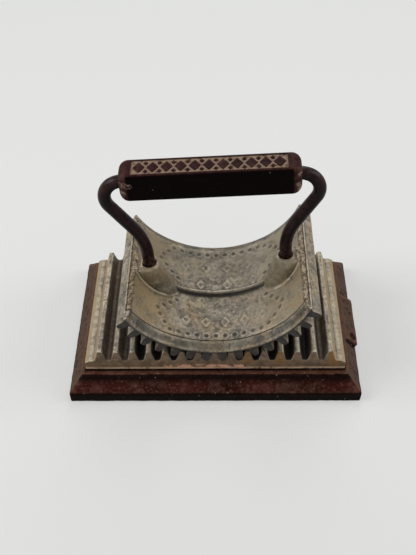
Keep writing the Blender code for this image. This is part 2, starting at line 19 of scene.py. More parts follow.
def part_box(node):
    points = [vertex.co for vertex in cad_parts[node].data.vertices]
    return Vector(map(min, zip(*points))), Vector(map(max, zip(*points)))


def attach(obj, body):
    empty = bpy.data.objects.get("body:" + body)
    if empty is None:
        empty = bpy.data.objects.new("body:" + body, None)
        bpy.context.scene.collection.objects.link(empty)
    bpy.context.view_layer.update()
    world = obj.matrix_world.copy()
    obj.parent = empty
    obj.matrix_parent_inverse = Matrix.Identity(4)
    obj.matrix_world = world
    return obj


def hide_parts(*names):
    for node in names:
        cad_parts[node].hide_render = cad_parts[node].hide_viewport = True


bl_info = {
    "name": "Fluting Iron",
    "version": (1, 0, 0),
    "blender": (4, 5, 0),
    "location": "View3D > Sidebar > Fluting Iron",
    "description": "Models and finishes an old hand fluting iron",
    "category": "Add Mesh",
}

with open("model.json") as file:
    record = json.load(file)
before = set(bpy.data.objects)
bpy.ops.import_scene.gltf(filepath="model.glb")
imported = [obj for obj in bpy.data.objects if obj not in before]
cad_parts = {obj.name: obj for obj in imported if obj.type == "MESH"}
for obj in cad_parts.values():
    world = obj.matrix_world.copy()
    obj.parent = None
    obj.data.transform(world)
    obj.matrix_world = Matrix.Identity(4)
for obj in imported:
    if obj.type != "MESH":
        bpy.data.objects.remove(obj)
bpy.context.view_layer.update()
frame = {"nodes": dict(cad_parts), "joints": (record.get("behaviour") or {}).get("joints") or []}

MM = 0.001

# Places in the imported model
JOINTS = {joint["name"]: joint for joint in frame["joints"]}
ROLL_HEIGHT = JOINTS["rocker_roll"]["pos_m"][2]
PLATE_LOW, PLATE_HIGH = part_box("flute_plate")
BASE_LOW, BASE_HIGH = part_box("base_casting")

# Ribs of the plate and the rocker, which mesh at the pitch height
RIB_COUNT = 15
RIB_TURN = math.radians(9.0)
FLANK_ANGLE = math.radians(16.0)
PITCH_HEIGHT = 23.3 * MM
PITCH_RADIUS = ROLL_HEIGHT - PITCH_HEIGHT
RIB_PITCH = PITCH_RADIUS * RIB_TURN
RIB_PLAY = 0.6 * MM
RIB_LENGTH = PLATE_HIGH.y - PLATE_LOW.y
ROCKER_ROOT = PITCH_RADIUS - 3.9 * MM
ROCKER_TIP = PITCH_RADIUS + 2.1 * MM
REST_TURN = -RIB_TURN / 2

# Plate
MARGIN_START = 60.5 * MM
BRONZE_RIBS = (2, 4, 7.25)
PLATE_RIB_HEIGHT = 6.5 * MM
RIB_ABOVE_PITCH = 3.5 * MM
RIB_BELOW_PITCH = 3.0 * MM
WORN_END = 2.6 * MM
WORN_END_FALL = 0.55
END_DRAFT = math.radians(6)

# Segment
SEGMENT_FLOOR = 0.8 * MM
LIP_INNER_RADIUS = 46.6 * MM
LIP_OUTER_RADIUS = 48.3 * MM
LIP_DEPTH = 5.5 * MM
END_FLAT = 0.9 * MM
END_SPARE = math.radians(0.25)

# Saddle. A corner or a spot is a turn in degrees from its bottom and a distance in
# millimetres from its middle. A row is that distance, its first and last turn, and its count.
SADDLE_RADIUS = 46.3007 * MM
SADDLE_OUTER = 48.9007 * MM
SADDLE_HALF = 31.7 * MM
SADDLE_CORE = 47.6 * MM
BOSS_TOP = 18.794 * MM
BOSS_STEPS = 8
BOSS_BOTTOM = -50.0 * MM
COLLAR_SPARE = 0.65 * MM
COLLAR_HEIGHT = 0.45 * MM
FOOT_X = SADDLE_RADIUS - 11.2 * MM
GARLAND_CORNERS = ((-30, 8), (-44.5, 18.5), (-34.5, 29), (30, 29), (45, 19), (31, 7.5))
LOZENGE_ROWS = ((-20.0, -23, 28, 5), (18.5, -25, 33, 5), (6.3, -14, 22, 3))
CHALK_SPOTS = ((60, 4), (55, 7))

# Base
BASE_EDGE_HEIGHT = 5.5 * MM
BASE_CHAMFER = 7.0 * MM
TOP_END, TOP_RIM = 67.7 * MM, 69 * MM
SEAM_X, SEAM_Y, SEAM_WIDTH = 68.3 * MM, 38.6 * MM, 0.7 * MM
PAD_STAND = 1.2 * MM
PAD_FRONT, PAD_BACK = -16.55 * MM, 15.95 * MM
PAD_FOLD = 2.1 * MM
PAD_FOOT = 0.9 * MM
DENT_CENTRE = np.array((76.5, -12.3, 11.5)) * MM
DENT_RADIUS = 3.4 * MM

# Handle, measured from the tops of the bosses
HANDLE_LEAN = math.radians(1.6)
ROD_RADIUS = 3.175 * MM
ROD_FOOT = -7.2 * MM
SHOULDER_HEIGHT = 15.9 * MM
SHOULDER_RADIUS = 32 * MM
CROOK_RADIUS = 9.9 * MM
CROOK_INTO_GRIP = 1.3 * MM
GRIP_CENTRE = 54.0 * MM
GRIP_LENGTH = 85.0 * MM
GRIP_WIDTH = 13.7 * MM
GRIP_HEIGHT = 15.3 * MM
GRIP_DOME = 4.6 * MM
GRIP_EDGE = 1.7 * MM
PANEL_LENGTH = 72.8 * MM
PANEL_SINK = 0.45 * MM
CHIPS = [(x * MM, y * MM, z * MM) for x, y, z in
         ((-41.0, -5.8, 56.3), (-39.2, -6.3, 56.4), (-37.4, -6.4, 55.9), (41.2, -5.4, 57.8),
          (40.6, -6.0, 52.0), (41.4, -5.6, 49.4), (-40.6, -6.0, 51.4))]

# Grain of the bare castings, as pairs of width and height in millimetres
IRON_BUMPS = [(0.8, 0.15), (2.8, 0.34)]

# The stage: the floor, where it starts and ends its change to an even glow, and the camera,
# which was fitted to the photograph, with its turns about Z, X and its own line of sight
FLOOR_SIZE = 6
GLOW_START, GLOW_FULL = 0.15, 0.55
LENS, SENSOR = 52.5, 36
CAMERA_PLACE = (4.96 * MM, -290.77 * MM, 354.73 * MM)
CAMERA_TURNS = (("Z", 1.649), ("X", 43.111), ("Z", -1.490))

# Each lamp's name, place, aim, width and power
LAMPS = (("key_lamp", (-0.85, -0.05, 0.75), (0, 0, 0.03), 0.6, 8.4),
         ("right_lamp", (0.80, 0.05, 0.60), (0, 0, 0.04), 0.5, 4.6),
         ("back_lamp", (0.10, 0.80, 0.80), (0, 0, 0.05), 0.6, 4.0))


def linear(code):
    """A hex colour in sRGB as linear red, green and blue."""
    shares = [int(code[i:i + 2], 16) / 255 for i in (0, 2, 4)]
    return [s / 12.92 if s <= 0.04045 else ((s + 0.055) / 1.055) ** 2.4 for s in shares]


def length(name, description, default):
    """A length that a user may change."""
    return FloatProperty(name=name, description=description, default=default,
                         unit="LENGTH", precision=5)


def colour(name, description, code):
    """A colour that a user may change, given as sRGB hex."""
    return FloatVectorProperty(name=name, description=description, default=linear(code),
                               subtype="COLOR", size=3, min=0, max=1)


class IronSizes(bpy.types.PropertyGroup):
    """Sizes of the castings and their wear."""
    grid: length("Grid", "Spacing of the fine surface of the ribbed pieces", 1.25 * MM)
    saddle_grain: length("Saddle grain", "Spacing of the saddle's fine surface", 0.48 * MM)
    base_grain: length("Base grain", "Spacing of the base's fine surface", 0.70 * MM)
    edge_round: length("Edge round", "Rounding of worn rib edges", 0.45 * MM)
    root_round: length("Root round", "Rounding at the foot of a rib", 0.90 * MM)
    lump: length("Lump", "Width of the castings' lumps", 7.0 * MM)
    lump_height: length("Lump height", "Height of the castings' lumps", 0.22 * MM)
    ring_radius: length("Ring radius", "Radius of an ornament ring", 1.60 * MM)
    ring_wire: length("Ring wire", "Half the width of a ring's bead", 0.45 * MM)
    ring_spacing: length("Ring spacing", "Distance between ornament rings", 4.9 * MM)
    lozenge_width: length("Lozenge width", "Width of a raised lozenge", 4.4 * MM)
    lozenge_height: length("Lozenge height", "Height of a raised lozenge", 6.2 * MM)
    relief: length("Relief", "How far the ornament stands up", 0.50 * MM)


class IronColours(bpy.types.PropertyGroup):
    """Colours of the metals, paints and stains, and of painted light, shade and shadow."""
    iron: colour("Iron", "Handled cast iron", "6f675b")
    iron_pale: colour("Pale iron", "Iron rubbed clean", "a39884")
    iron_tan: colour("Tan stain", "Old oil and smoke on the iron", "96815c")
    iron_grey: colour("Grey stain", "Cold greenish grey patches", "504a3d")
    iron_dark: colour("Dark iron", "Iron in the hollows", "1b1815")
    # Painted shade for the front and back faces of the rocker's ribs
    rib_face_shade: colour("Slate iron", "Blackened faces of the rocker's ribs", "272320")
    iron_bright: colour("Bright edge", "Iron worn bright on its edges", "d6cab3")
    chalk: colour("Chalk", "White corrosion near a boss", "c9cac2")
    rust: colour("Rust", "Rust in pits and joints", "3d2a1b")
    olive: colour("Olive", "Smoked front of the plate", "745a40")
    bronze: colour("Bronze", "Burnt bronze stain on the plate's front", "83591f")
    # Painted shadow of the rocker, laid in the plate's grooves under it
    painted_rocker_shadow: colour("Grime", "Soot and grime in the plate's grooves", "12100e")
    groove: colour("Groove", "Brown dust in the open grooves", "604e42")
    rim: colour("Rim", "Bright worn line along the plate's low edge", "f0cfae")
    copper: colour("Copper", "Pinkish wear on the plate's front edge", "ecb090")
    maroon: colour("Maroon", "Old maroon paint", "3b1812")
    maroon_worn: colour("Worn maroon", "Maroon paint rubbed and dusty", "6d4a3f")
    maroon_lit: colour("Rubbed maroon", "Paint rubbed thin on the flat", "50362a")
    maroon_dusty: colour("Dusty maroon", "Brown dust on the side slopes", "4e3e32")
    maroon_dark: colour("Dark maroon", "Maroon paint in the hollows", "070202")
    dent: colour("Dent", "Fresh paint in the pad's dent", "43201a")
    chip: colour("Chip", "Bare metal where paint chipped", "8f7b6c")
    handle: colour("Handle", "Handle paint", "2a1413")
    handle_dark: colour("Dark handle", "Handle paint out of the light", "050102")
    handle_worn: colour("Worn handle", "Handle paint rubbed thin", "4d332c")
    dust: colour("Dust", "Dust in the grip's sunk panel", "8c7664")
    steel: colour("Steel", "Aged screw steel", "5f5a54")
    brass: colour("Brass", "Dull sheet brass", "8f6f36")
    floor: colour("Floor", "Plain pale floor", "dfe0de")


def deselect():
    """Leave object mode with nothing selected."""
    if bpy.context.object and bpy.context.object.mode != "OBJECT":
        close_edit()
    bpy.ops.object.select_all(action="DESELECT")


def focus(piece):
    """Make one object the only one selected, and the active one."""
    deselect()
    piece.select_set(True)
    bpy.context.view_layer.objects.active = piece


def edit(piece):
    """Open one object in edit mode."""
    focus(piece)
    bpy.ops.object.mode_set(mode="EDIT")


def close_edit():
    """Go back to object mode."""
    bpy.ops.object.mode_set(mode="OBJECT")


def named(name):
    """Name the primitive that was just added, with its size and place put in its mesh."""
    piece = bpy.context.object
    piece.name = name
    piece.data.name = name
    bpy.ops.object.transform_apply(location=True, rotation=True, scale=True)
    return piece


def block(name, size, centre):
    """A cube primitive of a size about a centre."""
    deselect()
    bpy.ops.mesh.primitive_cube_add(size=1, location=centre)
    bpy.context.object.scale = size
    return named(name)


def choose(piece, kind, test):
    """In edit mode, select the edges or faces that pass a test, and nothing else."""
    bpy.ops.mesh.select_mode(type=kind)
    bpy.ops.mesh.select_all(action="DESELECT")
    bm = bmesh.from_edit_mesh(piece.data)
    for item in (bm.edges if kind == "EDGE" else bm.faces):
        item.select_set(test(item))
    bm.select_flush_mode()
    bmesh.update_edit_mesh(piece.data)


def middle(item):
    """The middle of an edge or a face."""
    return sum((vert.co for vert in item.verts), Vector()) / len(item.verts)


def near(a, b, gap=0.00001):
    """Whether two numbers lie within a small gap."""
    return abs(a - b) < gap


def push(offset):
    """Extrude what is selected and move it."""
    bpy.ops.mesh.extrude_region_move(TRANSFORM_OT_translate={"value": offset})


def draw_out(offset, steps):
    """Extrude what is selected by an offset, in equal steps."""
    for _ in range(steps):
        push(offset / steps)


def round_off(width, segments):
    """Bevel the selected edges, or the edges of the selected faces."""
    bpy.ops.mesh.bevel(offset=width, segments=segments, affect="EDGES", clamp_overlap=False)


def widen(shares, centre=(0, 0, 0)):
    """Scale what is selected about a centre."""
    bpy.ops.transform.resize(value=shares, center_override=centre)


def cut(place, normal, **settings):
    """Cut all faces by a plane."""
    bpy.ops.mesh.select_all(action="SELECT")
    bpy.ops.mesh.bisect(plane_co=place, plane_no=normal, **settings)


def face_outwards():
    """Turn all faces of the open piece outwards."""
    bpy.ops.mesh.select_all(action="SELECT")
    bpy.ops.mesh.normals_make_consistent(inside=False)


def slice_grid(axis, low, high, step):
    """Cut all faces by evenly spaced planes across an axis."""
    normal = Vector([float(i == axis) for i in range(3)])
    count = max(1, round((high - low) / step))
    for i in range(1, count):
        cut(normal * (low + (high - low) * i / count), normal)


def modify(piece, kind, **settings):
    """Add a modifier and apply it."""
    focus(piece)
    step = piece.modifiers.new(kind.lower(), kind)
    for key, value in settings.items():
        setattr(step, key, value)
    bpy.ops.object.modifier_apply(modifier=step.name)


def combine(piece, tool, operation):
    """Join, cut or trim a piece with a tool, which is then removed."""
    modify(piece, "BOOLEAN", object=tool, operation=operation)
    bpy.data.objects.remove(tool)


def joined(pieces, name):
    """Join several objects into the first."""
    deselect()
    for piece in pieces:
        piece.select_set(True)
    bpy.context.view_layer.objects.active = pieces[0]
    bpy.ops.object.join()
    pieces[0].name = name
    pieces[0].data.name = name
    return pieces[0]


def roughen(piece, width, height):
    """Raise and sink the surface by soft lumps of a width and height."""
    clouds = bpy.data.textures.new("lumps", "CLOUDS")
    clouds.noise_scale = width
    clouds.noise_depth = 2
    modify(piece, "DISPLACE", texture=clouds, texture_coords="LOCAL", strength=height,
           mid_level=0.5, direction="NORMAL")
    bpy.data.textures.remove(clouds)


def points_of(mesh, kind="co"):
    """The mesh's corners, or their normals, as an array."""
    values = np.empty(len(mesh.vertices) * 3, np.float32)
    mesh.vertices.foreach_get(kind, values)
    return values.reshape(-1, 3)


def set_points(mesh, values):
    """Move the mesh's corners."""
    mesh.vertices.foreach_set("co", values.astype(np.float32).ravel())
    mesh.update()


def keep_within(piece, node):
    """Move what stands out of a CAD node's box back to its faces."""
    low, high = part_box(node)
    set_points(piece.data, np.clip(points_of(piece.data), tuple(low), tuple(high)))


def attribute(mesh, name, values):
    """Store a number from 0 to 1 at each corner."""
    layer = mesh.attributes.get(name) or mesh.attributes.new(name, "FLOAT", "POINT")
    layer.data.foreach_set("value", np.clip(values, 0, 1).astype(np.float32))


def mark_wear(piece, passes, depth):
    """Store where the surface stands out of what is round it, and where it lies in it."""
    mesh = piece.data
    here = points_of(mesh).astype(float)
    ends = np.empty(len(mesh.edges) * 2, np.int32)
    mesh.edges.foreach_get("vertices", ends)
    left, right = ends[0::2], ends[1::2]
    count = np.maximum(1, np.bincount(ends, minlength=len(here)))
    smooth = here.copy()
    for _ in range(passes):
        total = np.empty_like(smooth)
        for axis in range(3):
            total[:, axis] = np.bincount(left, smooth[right, axis], len(here))
            total[:, axis] += np.bincount(right, smooth[left, axis], len(here))
        smooth = total / count[:, None]
    out = ((here - smooth) * points_of(mesh, "normal")).sum(1) / depth
    attribute(mesh, "edge", out)
    # Where the surface lies in, which the materials darken with dirt and painted shade
    attribute(mesh, "hollow_dirt_and_shade", -out)


def settle(piece, body, slot, material, *nodes):
    """Finish a piece: its material, its body, and the nodes that it stands for."""
    piece.data.materials.clear()
    piece.data.materials.append(material)
    focus(piece)
    bpy.ops.object.shade_smooth_by_angle(angle=math.radians(40))
    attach(piece, body)
    if nodes:
        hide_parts(*nodes)


def rocker_place():
    """From the upright rocker about its roll axis to its resting place."""
    return Matrix.Translation((0, 0, ROLL_HEIGHT)) @ Matrix.Rotation(REST_TURN, 4, "Y")


def boss_place():
    """From the handle's own frame, at the boss tops, to the upright rocker's."""
    return Matrix.Translation((0, 0, -BOSS_TOP)) @ Matrix.Rotation(HANDLE_LEAN, 4, "Y")


def handle_place():
    """From the handle's own frame to its resting place."""
    return rocker_place() @ boss_place()


def rib_bar(name, heights, halves, floor, sizes, under=None):
    """One rib on a block one pitch wide, repeated, open at both ends.

    The rib's half width is given at each height. A further step may shape the underside.
    """
    piece = block(name, (2 * halves[0], RIB_LENGTH, floor), (0, 0, -floor / 2))
    edit(piece)
    choose(piece, "FACE", lambda face: face.normal.z > 0.9)
    for i in range(1, len(heights)):
        push((0, 0, heights[i] - heights[i - 1]))
        widen((halves[i] / halves[i - 1], 1, 1))
    reach = RIB_PITCH / 2 - halves[0]
    for side in (1, -1):
        choose(piece, "FACE", lambda face: side * face.normal.x > 0.9 and middle(face).z < 0)
        push((side * reach, 0, 0))
    if under:
        under(piece)
    choose(piece, "FACE", lambda face: near(abs(middle(face).x), RIB_PITCH / 2))
    bpy.ops.mesh.delete(type="FACE")
    choose(piece, "EDGE", lambda edge: near(abs(middle(edge).x), halves[0])
           and near(middle(edge).z, 0) and abs(edge.verts[0].co.y - edge.verts[1].co.y) > MM)
    round_off(sizes.root_round, 3)
    choose(piece, "EDGE", lambda edge: not edge.is_boundary and edge.is_convex
           and edge.calc_face_angle() > math.radians(38))
    round_off(sizes.edge_round, 3)
    close_edit()
    modify(piece, "ARRAY", count=RIB_COUNT, use_relative_offset=False, use_constant_offset=True,
           constant_offset_displace=(RIB_PITCH, 0, 0), use_merge_vertices=True,
           merge_threshold=0.02 * MM)
    piece.data.transform(Matrix.Translation((-(RIB_COUNT - 1) / 2 * RIB_PITCH, 0, 0)))
    return piece


def model_plate(sizes):
    """The ribbed plate: fifteen ribs, a plain margin at each end and drafted ends."""
    floor = PLATE_HIGH.z - PLATE_LOW.z - PLATE_RIB_HEIGHT
    slope = math.tan(FLANK_ANGLE)
    halves = [RIB_PITCH / 4 + RIB_BELOW_PITCH * slope, RIB_PITCH / 4 - RIB_ABOVE_PITCH * slope]
    plate = rib_bar("worn_flute_plate", [0, PLATE_RIB_HEIGHT], halves, floor, sizes)
    edit(plate)
    outer = RIB_COUNT * RIB_PITCH / 2
    for side, end in ((-1, PLATE_LOW.x), (1, PLATE_HIGH.x)):
        choose(plate, "EDGE",
               lambda edge: edge.is_boundary and near(middle(edge).x, side * outer))
        push((end - side * outer, 0, 0))
        bpy.ops.mesh.edge_face_add()
        cut((end - side * WORN_END, 0, 0), (1, 0, 0))
        choose(plate, "FACE", lambda face: near(middle(face).x, end))
        round_off(sizes.edge_round, 2)
    slice_grid(1, -RIB_LENGTH / 2, RIB_LENGTH / 2, sizes.grid)
    slice_grid(2, -floor, PLATE_RIB_HEIGHT, sizes.grid)
    # Finer rows low down, for the bright line along the edge
    slice_grid(2, -floor + 0.5 * MM, -floor + 1.5 * MM, 0.5 * MM)
    close_edit()
    points = points_of(plate.data)
    past = np.abs(points[:, 0]) - (PLATE_HIGH.x - WORN_END)
    fall = np.maximum(0, past) * WORN_END_FALL
    points[:, 2] = np.where(fall > 0, np.minimum(points[:, 2], -fall), points[:, 2])
    points[:, 1] -= np.sign(points[:, 1]) * (points[:, 2] + floor) * math.tan(END_DRAFT)
    points[:, 2] += PLATE_LOW.z + floor
    set_points(plate.data, points)
    return plate


def rocker_flank(radius):
    """Half the angle of a rocker rib at a radius."""
    base = PITCH_RADIUS * math.cos(FLANK_ANGLE)
    pressure = math.acos(min(1, base / radius))
    at_pitch = (RIB_PITCH / 2 - RIB_PLAY) / (2 * PITCH_RADIUS)
    return at_pitch + math.tan(FLANK_ANGLE) - FLANK_ANGLE - (math.tan(pressure) - pressure)


def end_turn():
    """The turn from the rocker's middle to its flat end, past the last rib."""
    last_rib = (RIB_COUNT - 1) / 2 * RIB_TURN + rocker_flank(ROCKER_ROOT)
    return last_rib + END_FLAT / ROCKER_ROOT + END_SPARE


def model_segment(sizes):
    """The rocker's ribbed segment: a flat ribbed tray with two lips, rolled round its axis."""
    floor = SEGMENT_FLOOR
    lip_inner, lip_outer = ROCKER_ROOT - LIP_INNER_RADIUS, ROCKER_ROOT - LIP_OUTER_RADIUS
    lip_start = RIB_LENGTH / 2 - LIP_DEPTH
    heights = [(ROCKER_TIP - ROCKER_ROOT) * i / 4 for i in range(5)]
    halves = [PITCH_RADIUS * rocker_flank(ROCKER_ROOT + height) for height in heights]

    def lips(piece):
        """Raise the lips under the block, at its front and back."""
        for side in (-1, 1):
            cut((0, side * lip_start, 0), (0, 1, 0))
        choose(piece, "FACE",
               lambda face: face.normal.z < -0.9 and abs(middle(face).y) > lip_start)
        push((0, 0, floor - lip_inner))
        choose(piece, "EDGE", lambda edge: near(abs(middle(edge).y), RIB_LENGTH / 2)
               and near(edge.verts[0].co.z, -lip_inner) and near(edge.verts[1].co.z, -lip_inner))
        bpy.ops.transform.translate(value=(0, 0, lip_inner - lip_outer))

    segment = rib_bar("worn_flute_segment", heights, halves, floor, sizes, lips)
    edit(segment)
    for side in (-1, 1):
        cut((side * PITCH_RADIUS * end_turn(), 0, 0), (side, 0, 0),
            use_fill=True, clear_outer=True)
    slice_grid(1, -RIB_LENGTH / 2, RIB_LENGTH / 2, sizes.grid)
    slice_grid(2, -lip_inner, heights[-1], sizes.grid)
    close_edit()
    points = points_of(segment.data)
    turn = -points[:, 0] / PITCH_RADIUS
    radius = ROCKER_ROOT + points[:, 2]
    rolled = [radius * np.sin(turn), points[:, 1], -radius * np.cos(turn)]
    set_points(segment.data, np.stack(rolled, 1))
    return segment


def arc_bar(name, inner, outer, turn, half_depth, steps):
    """A bar of square section bent about the roll axis, below it, to a turn on each side."""
    deselect()
    bpy.ops.mesh.primitive_plane_add(size=1, location=(0, 0, -(inner + outer) / 2),
                                     rotation=(0, math.radians(90), 0))
    bpy.context.object.scale = (outer - inner, 2 * half_depth, 1)
    bar = named(name)
    bar.data.transform(Matrix.Rotation(turn, 4, "Y"))
    edit(bar)
    bpy.ops.mesh.select_all(action="SELECT")
    bpy.ops.mesh.delete(type="ONLY_FACE")
    bpy.ops.mesh.select_all(action="SELECT")
    bpy.ops.mesh.spin(steps=steps, angle=2 * turn, center=(0, 0, 0), axis=(0, 1, 0))
    bpy.ops.mesh.select_all(action="SELECT")
    bpy.ops.mesh.fill_holes(sides=4)
    face_outwards()
    close_edit()
    return bar


def round_bar(name, radius, low, high, centre=(0, 0), sides=48):
    """An upright cylinder primitive between two heights."""
    deselect()
    bpy.ops.mesh.primitive_cylinder_add(vertices=sides, radius=radius, depth=high - low,
                                        location=(centre[0], centre[1], (low + high) / 2))
    return named(name)


def on_saddle(turn, y):
    """From a flat place at the origin to one on the saddle's inner face."""
    return Matrix.Rotation(-turn, 4, "Y") @ Matrix.Translation((0, y, -SADDLE_RADIUS))


def copies(pattern, places):
    """Copies of a modelled pattern, each with its own mesh, at the places given."""
    made = []
    for place in places:
        copy = pattern.copy()
        copy.data = pattern.data.copy()
        bpy.context.scene.collection.objects.link(copy)
        copy.data.transform(place)
        made.append(copy)
    bpy.data.objects.remove(pattern)
    return made


def bead_ring(sizes):
    """One ornament ring, flat on the ground."""
    deselect()
    bpy.ops.mesh.primitive_torus_add(major_radius=sizes.ring_radius, minor_radius=sizes.ring_wire,
                                     major_segments=20, minor_segments=8)
    bpy.context.object.scale = (1, 1, 0.9)
    return named("bead_ring")


def lozenge(width, height, relief, sunk):
    """One raised lozenge with a sunk middle, flat on the ground."""
    deselect()
    bpy.ops.mesh.primitive_cylinder_add(vertices=4, radius=0.5, depth=2 * relief)
    bpy.context.object.scale = (width, height, 1)
    piece = named("lozenge")
    edit(piece)
    choose(piece, "FACE", lambda face: face.normal.z > 0.9)
    bpy.ops.mesh.inset(thickness=width / 5)
    bpy.ops.transform.translate(value=(0, 0, -sunk))
    close_edit()
    return piece


def garland(side, sizes):
    """Places of the ring garland round one field of the saddle, front or back."""
    corners = [(math.radians(turn) * SADDLE_RADIUS, side * y * MM)
               for turn, y in GARLAND_CORNERS]
    places, left_over = [], 0.0
    for (u, y), (next_u, next_y) in zip(corners, corners[1:]):
        run = math.hypot(next_u - u, next_y - y)
        along = left_over
        while along < run:
            share = along / run
            turn = (u + (next_u - u) * share) / SADDLE_RADIUS
            places.append(on_saddle(turn, y + (next_y - y) * share))
            along += sizes.ring_spacing
        left_over = along - run
    return places


def model_boss(side, spare, name):
    """One boss: an oval lump that swells from its top down, mostly inwards."""
    top_half, swell = 4.8 * MM, 3.8 * MM
    outward, foot_inward = 8.7 * MM + spare, 12.8 * MM
    depth = math.sqrt(SADDLE_RADIUS ** 2 - (FOOT_X - foot_inward) ** 2) - BOSS_TOP
    sections = []
    for step in range(BOSS_STEPS + 1):
        share = (step / BOSS_STEPS) ** 2
        inward = top_half + (foot_inward - top_half) * share ** 0.9 + spare
        width = top_half + swell * share ** 0.3 + spare
        across = side * (FOOT_X + (outward - inward) / 2)
        sections.append((Vector((across, 0, -BOSS_TOP - depth * share)),
                         (outward + inward) / 2, width))
    deselect()
    bpy.ops.mesh.primitive_circle_add(vertices=48, radius=1, fill_type="NGON",
                                      location=sections[0][0])
    bpy.context.object.scale = (sections[0][1], sections[0][2], 1)
    lump = named(name)
    edit(lump)
    bpy.ops.mesh.select_all(action="SELECT")
    for before, after in zip(sections, sections[1:]):
        push(after[0] - before[0])
        widen((after[1] / before[1], after[2] / before[2], 1), after[0])
    push((0, 0, BOSS_BOTTOM - after[0].z))
    face_outwards()
    close_edit()
    return lump


def about_roll_axis(radius):
    """A long cylinder about the roll axis, for trimming."""
    bar = round_bar("trim", radius, -RIB_LENGTH, RIB_LENGTH, sides=160)
    bar.data.transform(Matrix.Rotation(math.radians(90), 4, "X"))
    return bar


def model_saddle(sizes):
    """The saddle: shell, bosses, ridge and raised ornament, fused like one casting."""
    shell = arc_bar("worn_saddle", SADDLE_RADIUS, SADDLE_OUTER, end_turn(), SADDLE_HALF, 120)
    for side in (-1, 1):
        lump = model_boss(side, 0, "boss")
        combine(lump, about_roll_axis(SADDLE_CORE), "INTERSECT")
        combine(shell, lump, "UNION")
        collar = model_boss(side, COLLAR_SPARE, "collar")
        combine(collar, about_roll_axis(SADDLE_CORE), "INTERSECT")
        combine(collar, about_roll_axis(SADDLE_RADIUS - COLLAR_HEIGHT), "DIFFERENCE")
        combine(shell, collar, "UNION")
    ridge_height, ridge_half = 1.8 * MM, 1.1 * MM
    reach = math.asin((FOOT_X - 6 * MM) / SADDLE_CORE)
    ridge = arc_bar("ridge", SADDLE_RADIUS - ridge_height, SADDLE_CORE, reach, ridge_half, 60)
    for side in (-1, 1):
        socket = round_bar("socket", ROD_RADIUS + 0.3 * MM, ROD_FOOT - 0.3 * MM, 2 * MM,
                           (side * FOOT_X, 0))
        socket.data.transform(boss_place())
        combine(shell, socket, "DIFFERENCE")
    parts = [shell, ridge]
    parts += copies(bead_ring(sizes), garland(-1, sizes) + garland(1, sizes))
    places = []
    for y, first, last, count in LOZENGE_ROWS:
        for i in range(count):
            turn = math.radians(first + (last - first) * i / (count - 1))
            places.append(on_saddle(turn, y * MM))
    pattern = lozenge(sizes.lozenge_width, sizes.lozenge_height, sizes.relief, 0.35 * MM)
    parts += copies(pattern, places)
    saddle = joined(parts, "worn_saddle")
    modify(saddle, "REMESH", mode="VOXEL", voxel_size=sizes.saddle_grain)
    modify(saddle, "SMOOTH", factor=0.5, iterations=2)
    return saddle


def model_base(sizes):
    """The base: a slab with sloped sides, and a dented pad on its right slope."""
    size = Vector((-2 * BASE_LOW.x, BASE_HIGH.y - BASE_LOW.y, BASE_HIGH.z))
    edge_height, chamfer = BASE_EDGE_HEIGHT, BASE_CHAMFER
    base = block("painted_base", (size.x, size.y, edge_height), (0, 0, edge_height / 2))
    edit(base)
    choose(base, "FACE", lambda face: face.normal.z > 0.9)
    push((0, 0, size.z - edge_height))
    widen((1 - 2 * chamfer / size.x, 1 - 2 * chamfer / size.y, 1))
    close_edit()
    land = size.x / 2 - chamfer
    pad_low = (land - 2 * MM, PAD_FRONT, edge_height)
    pad_high = (BASE_HIGH.x, PAD_BACK, BASE_HIGH.z - 0.3 * MM)
    pad = block("pad", [b - a for a, b in zip(pad_low, pad_high)],
                [(a + b) / 2 for a, b in zip(pad_low, pad_high)])
    edit(pad)
    cut((0, 0, edge_height + PAD_FOLD), (0, 0, 1))
    choose(pad, "EDGE", lambda edge: near(middle(edge).x, pad_high[0])
           and near(middle(edge).z, pad_high[2]))
    bpy.ops.transform.translate(value=(land + PAD_STAND - pad_high[0], 0, 0))
    choose(pad, "EDGE", lambda edge: near(middle(edge).x, pad_high[0])
           and near(middle(edge).z, edge_height))
    bpy.ops.transform.translate(value=(0, 0, PAD_FOOT))
    close_edit()
    base = joined([base, pad], "painted_base")
    modify(base, "REMESH", mode="VOXEL", voxel_size=sizes.base_grain)
    modify(base, "SMOOTH", factor=0.5, iterations=1)
    points = points_of(base.data)
    away = points - DENT_CENTRE
    reach = np.linalg.norm(away, axis=1)
    pressed = (reach < DENT_RADIUS) & (reach > 0)
    stretch = DENT_RADIUS / np.maximum(reach, 0.01 * MM)
    points[pressed] = (DENT_CENTRE + away * stretch[:, None])[pressed]
    set_points(base.data, points)
    return base


def rod_path():
    """The handle rod's slope, and the middles of its shoulder and crook bends."""
    crook = Vector((GRIP_LENGTH / 2 - CROOK_INTO_GRIP, 0, GRIP_CENTRE - CROOK_RADIUS))
    across, up = crook.x - FOOT_X, crook.z - SHOULDER_HEIGHT
    slope = math.atan2(across, up) + math.asin(CROOK_RADIUS / math.hypot(across, up))
    start = SHOULDER_HEIGHT - SHOULDER_RADIUS * math.tan(slope / 2)
    return slope, Vector((FOOT_X + SHOULDER_RADIUS, 0, start)), crook


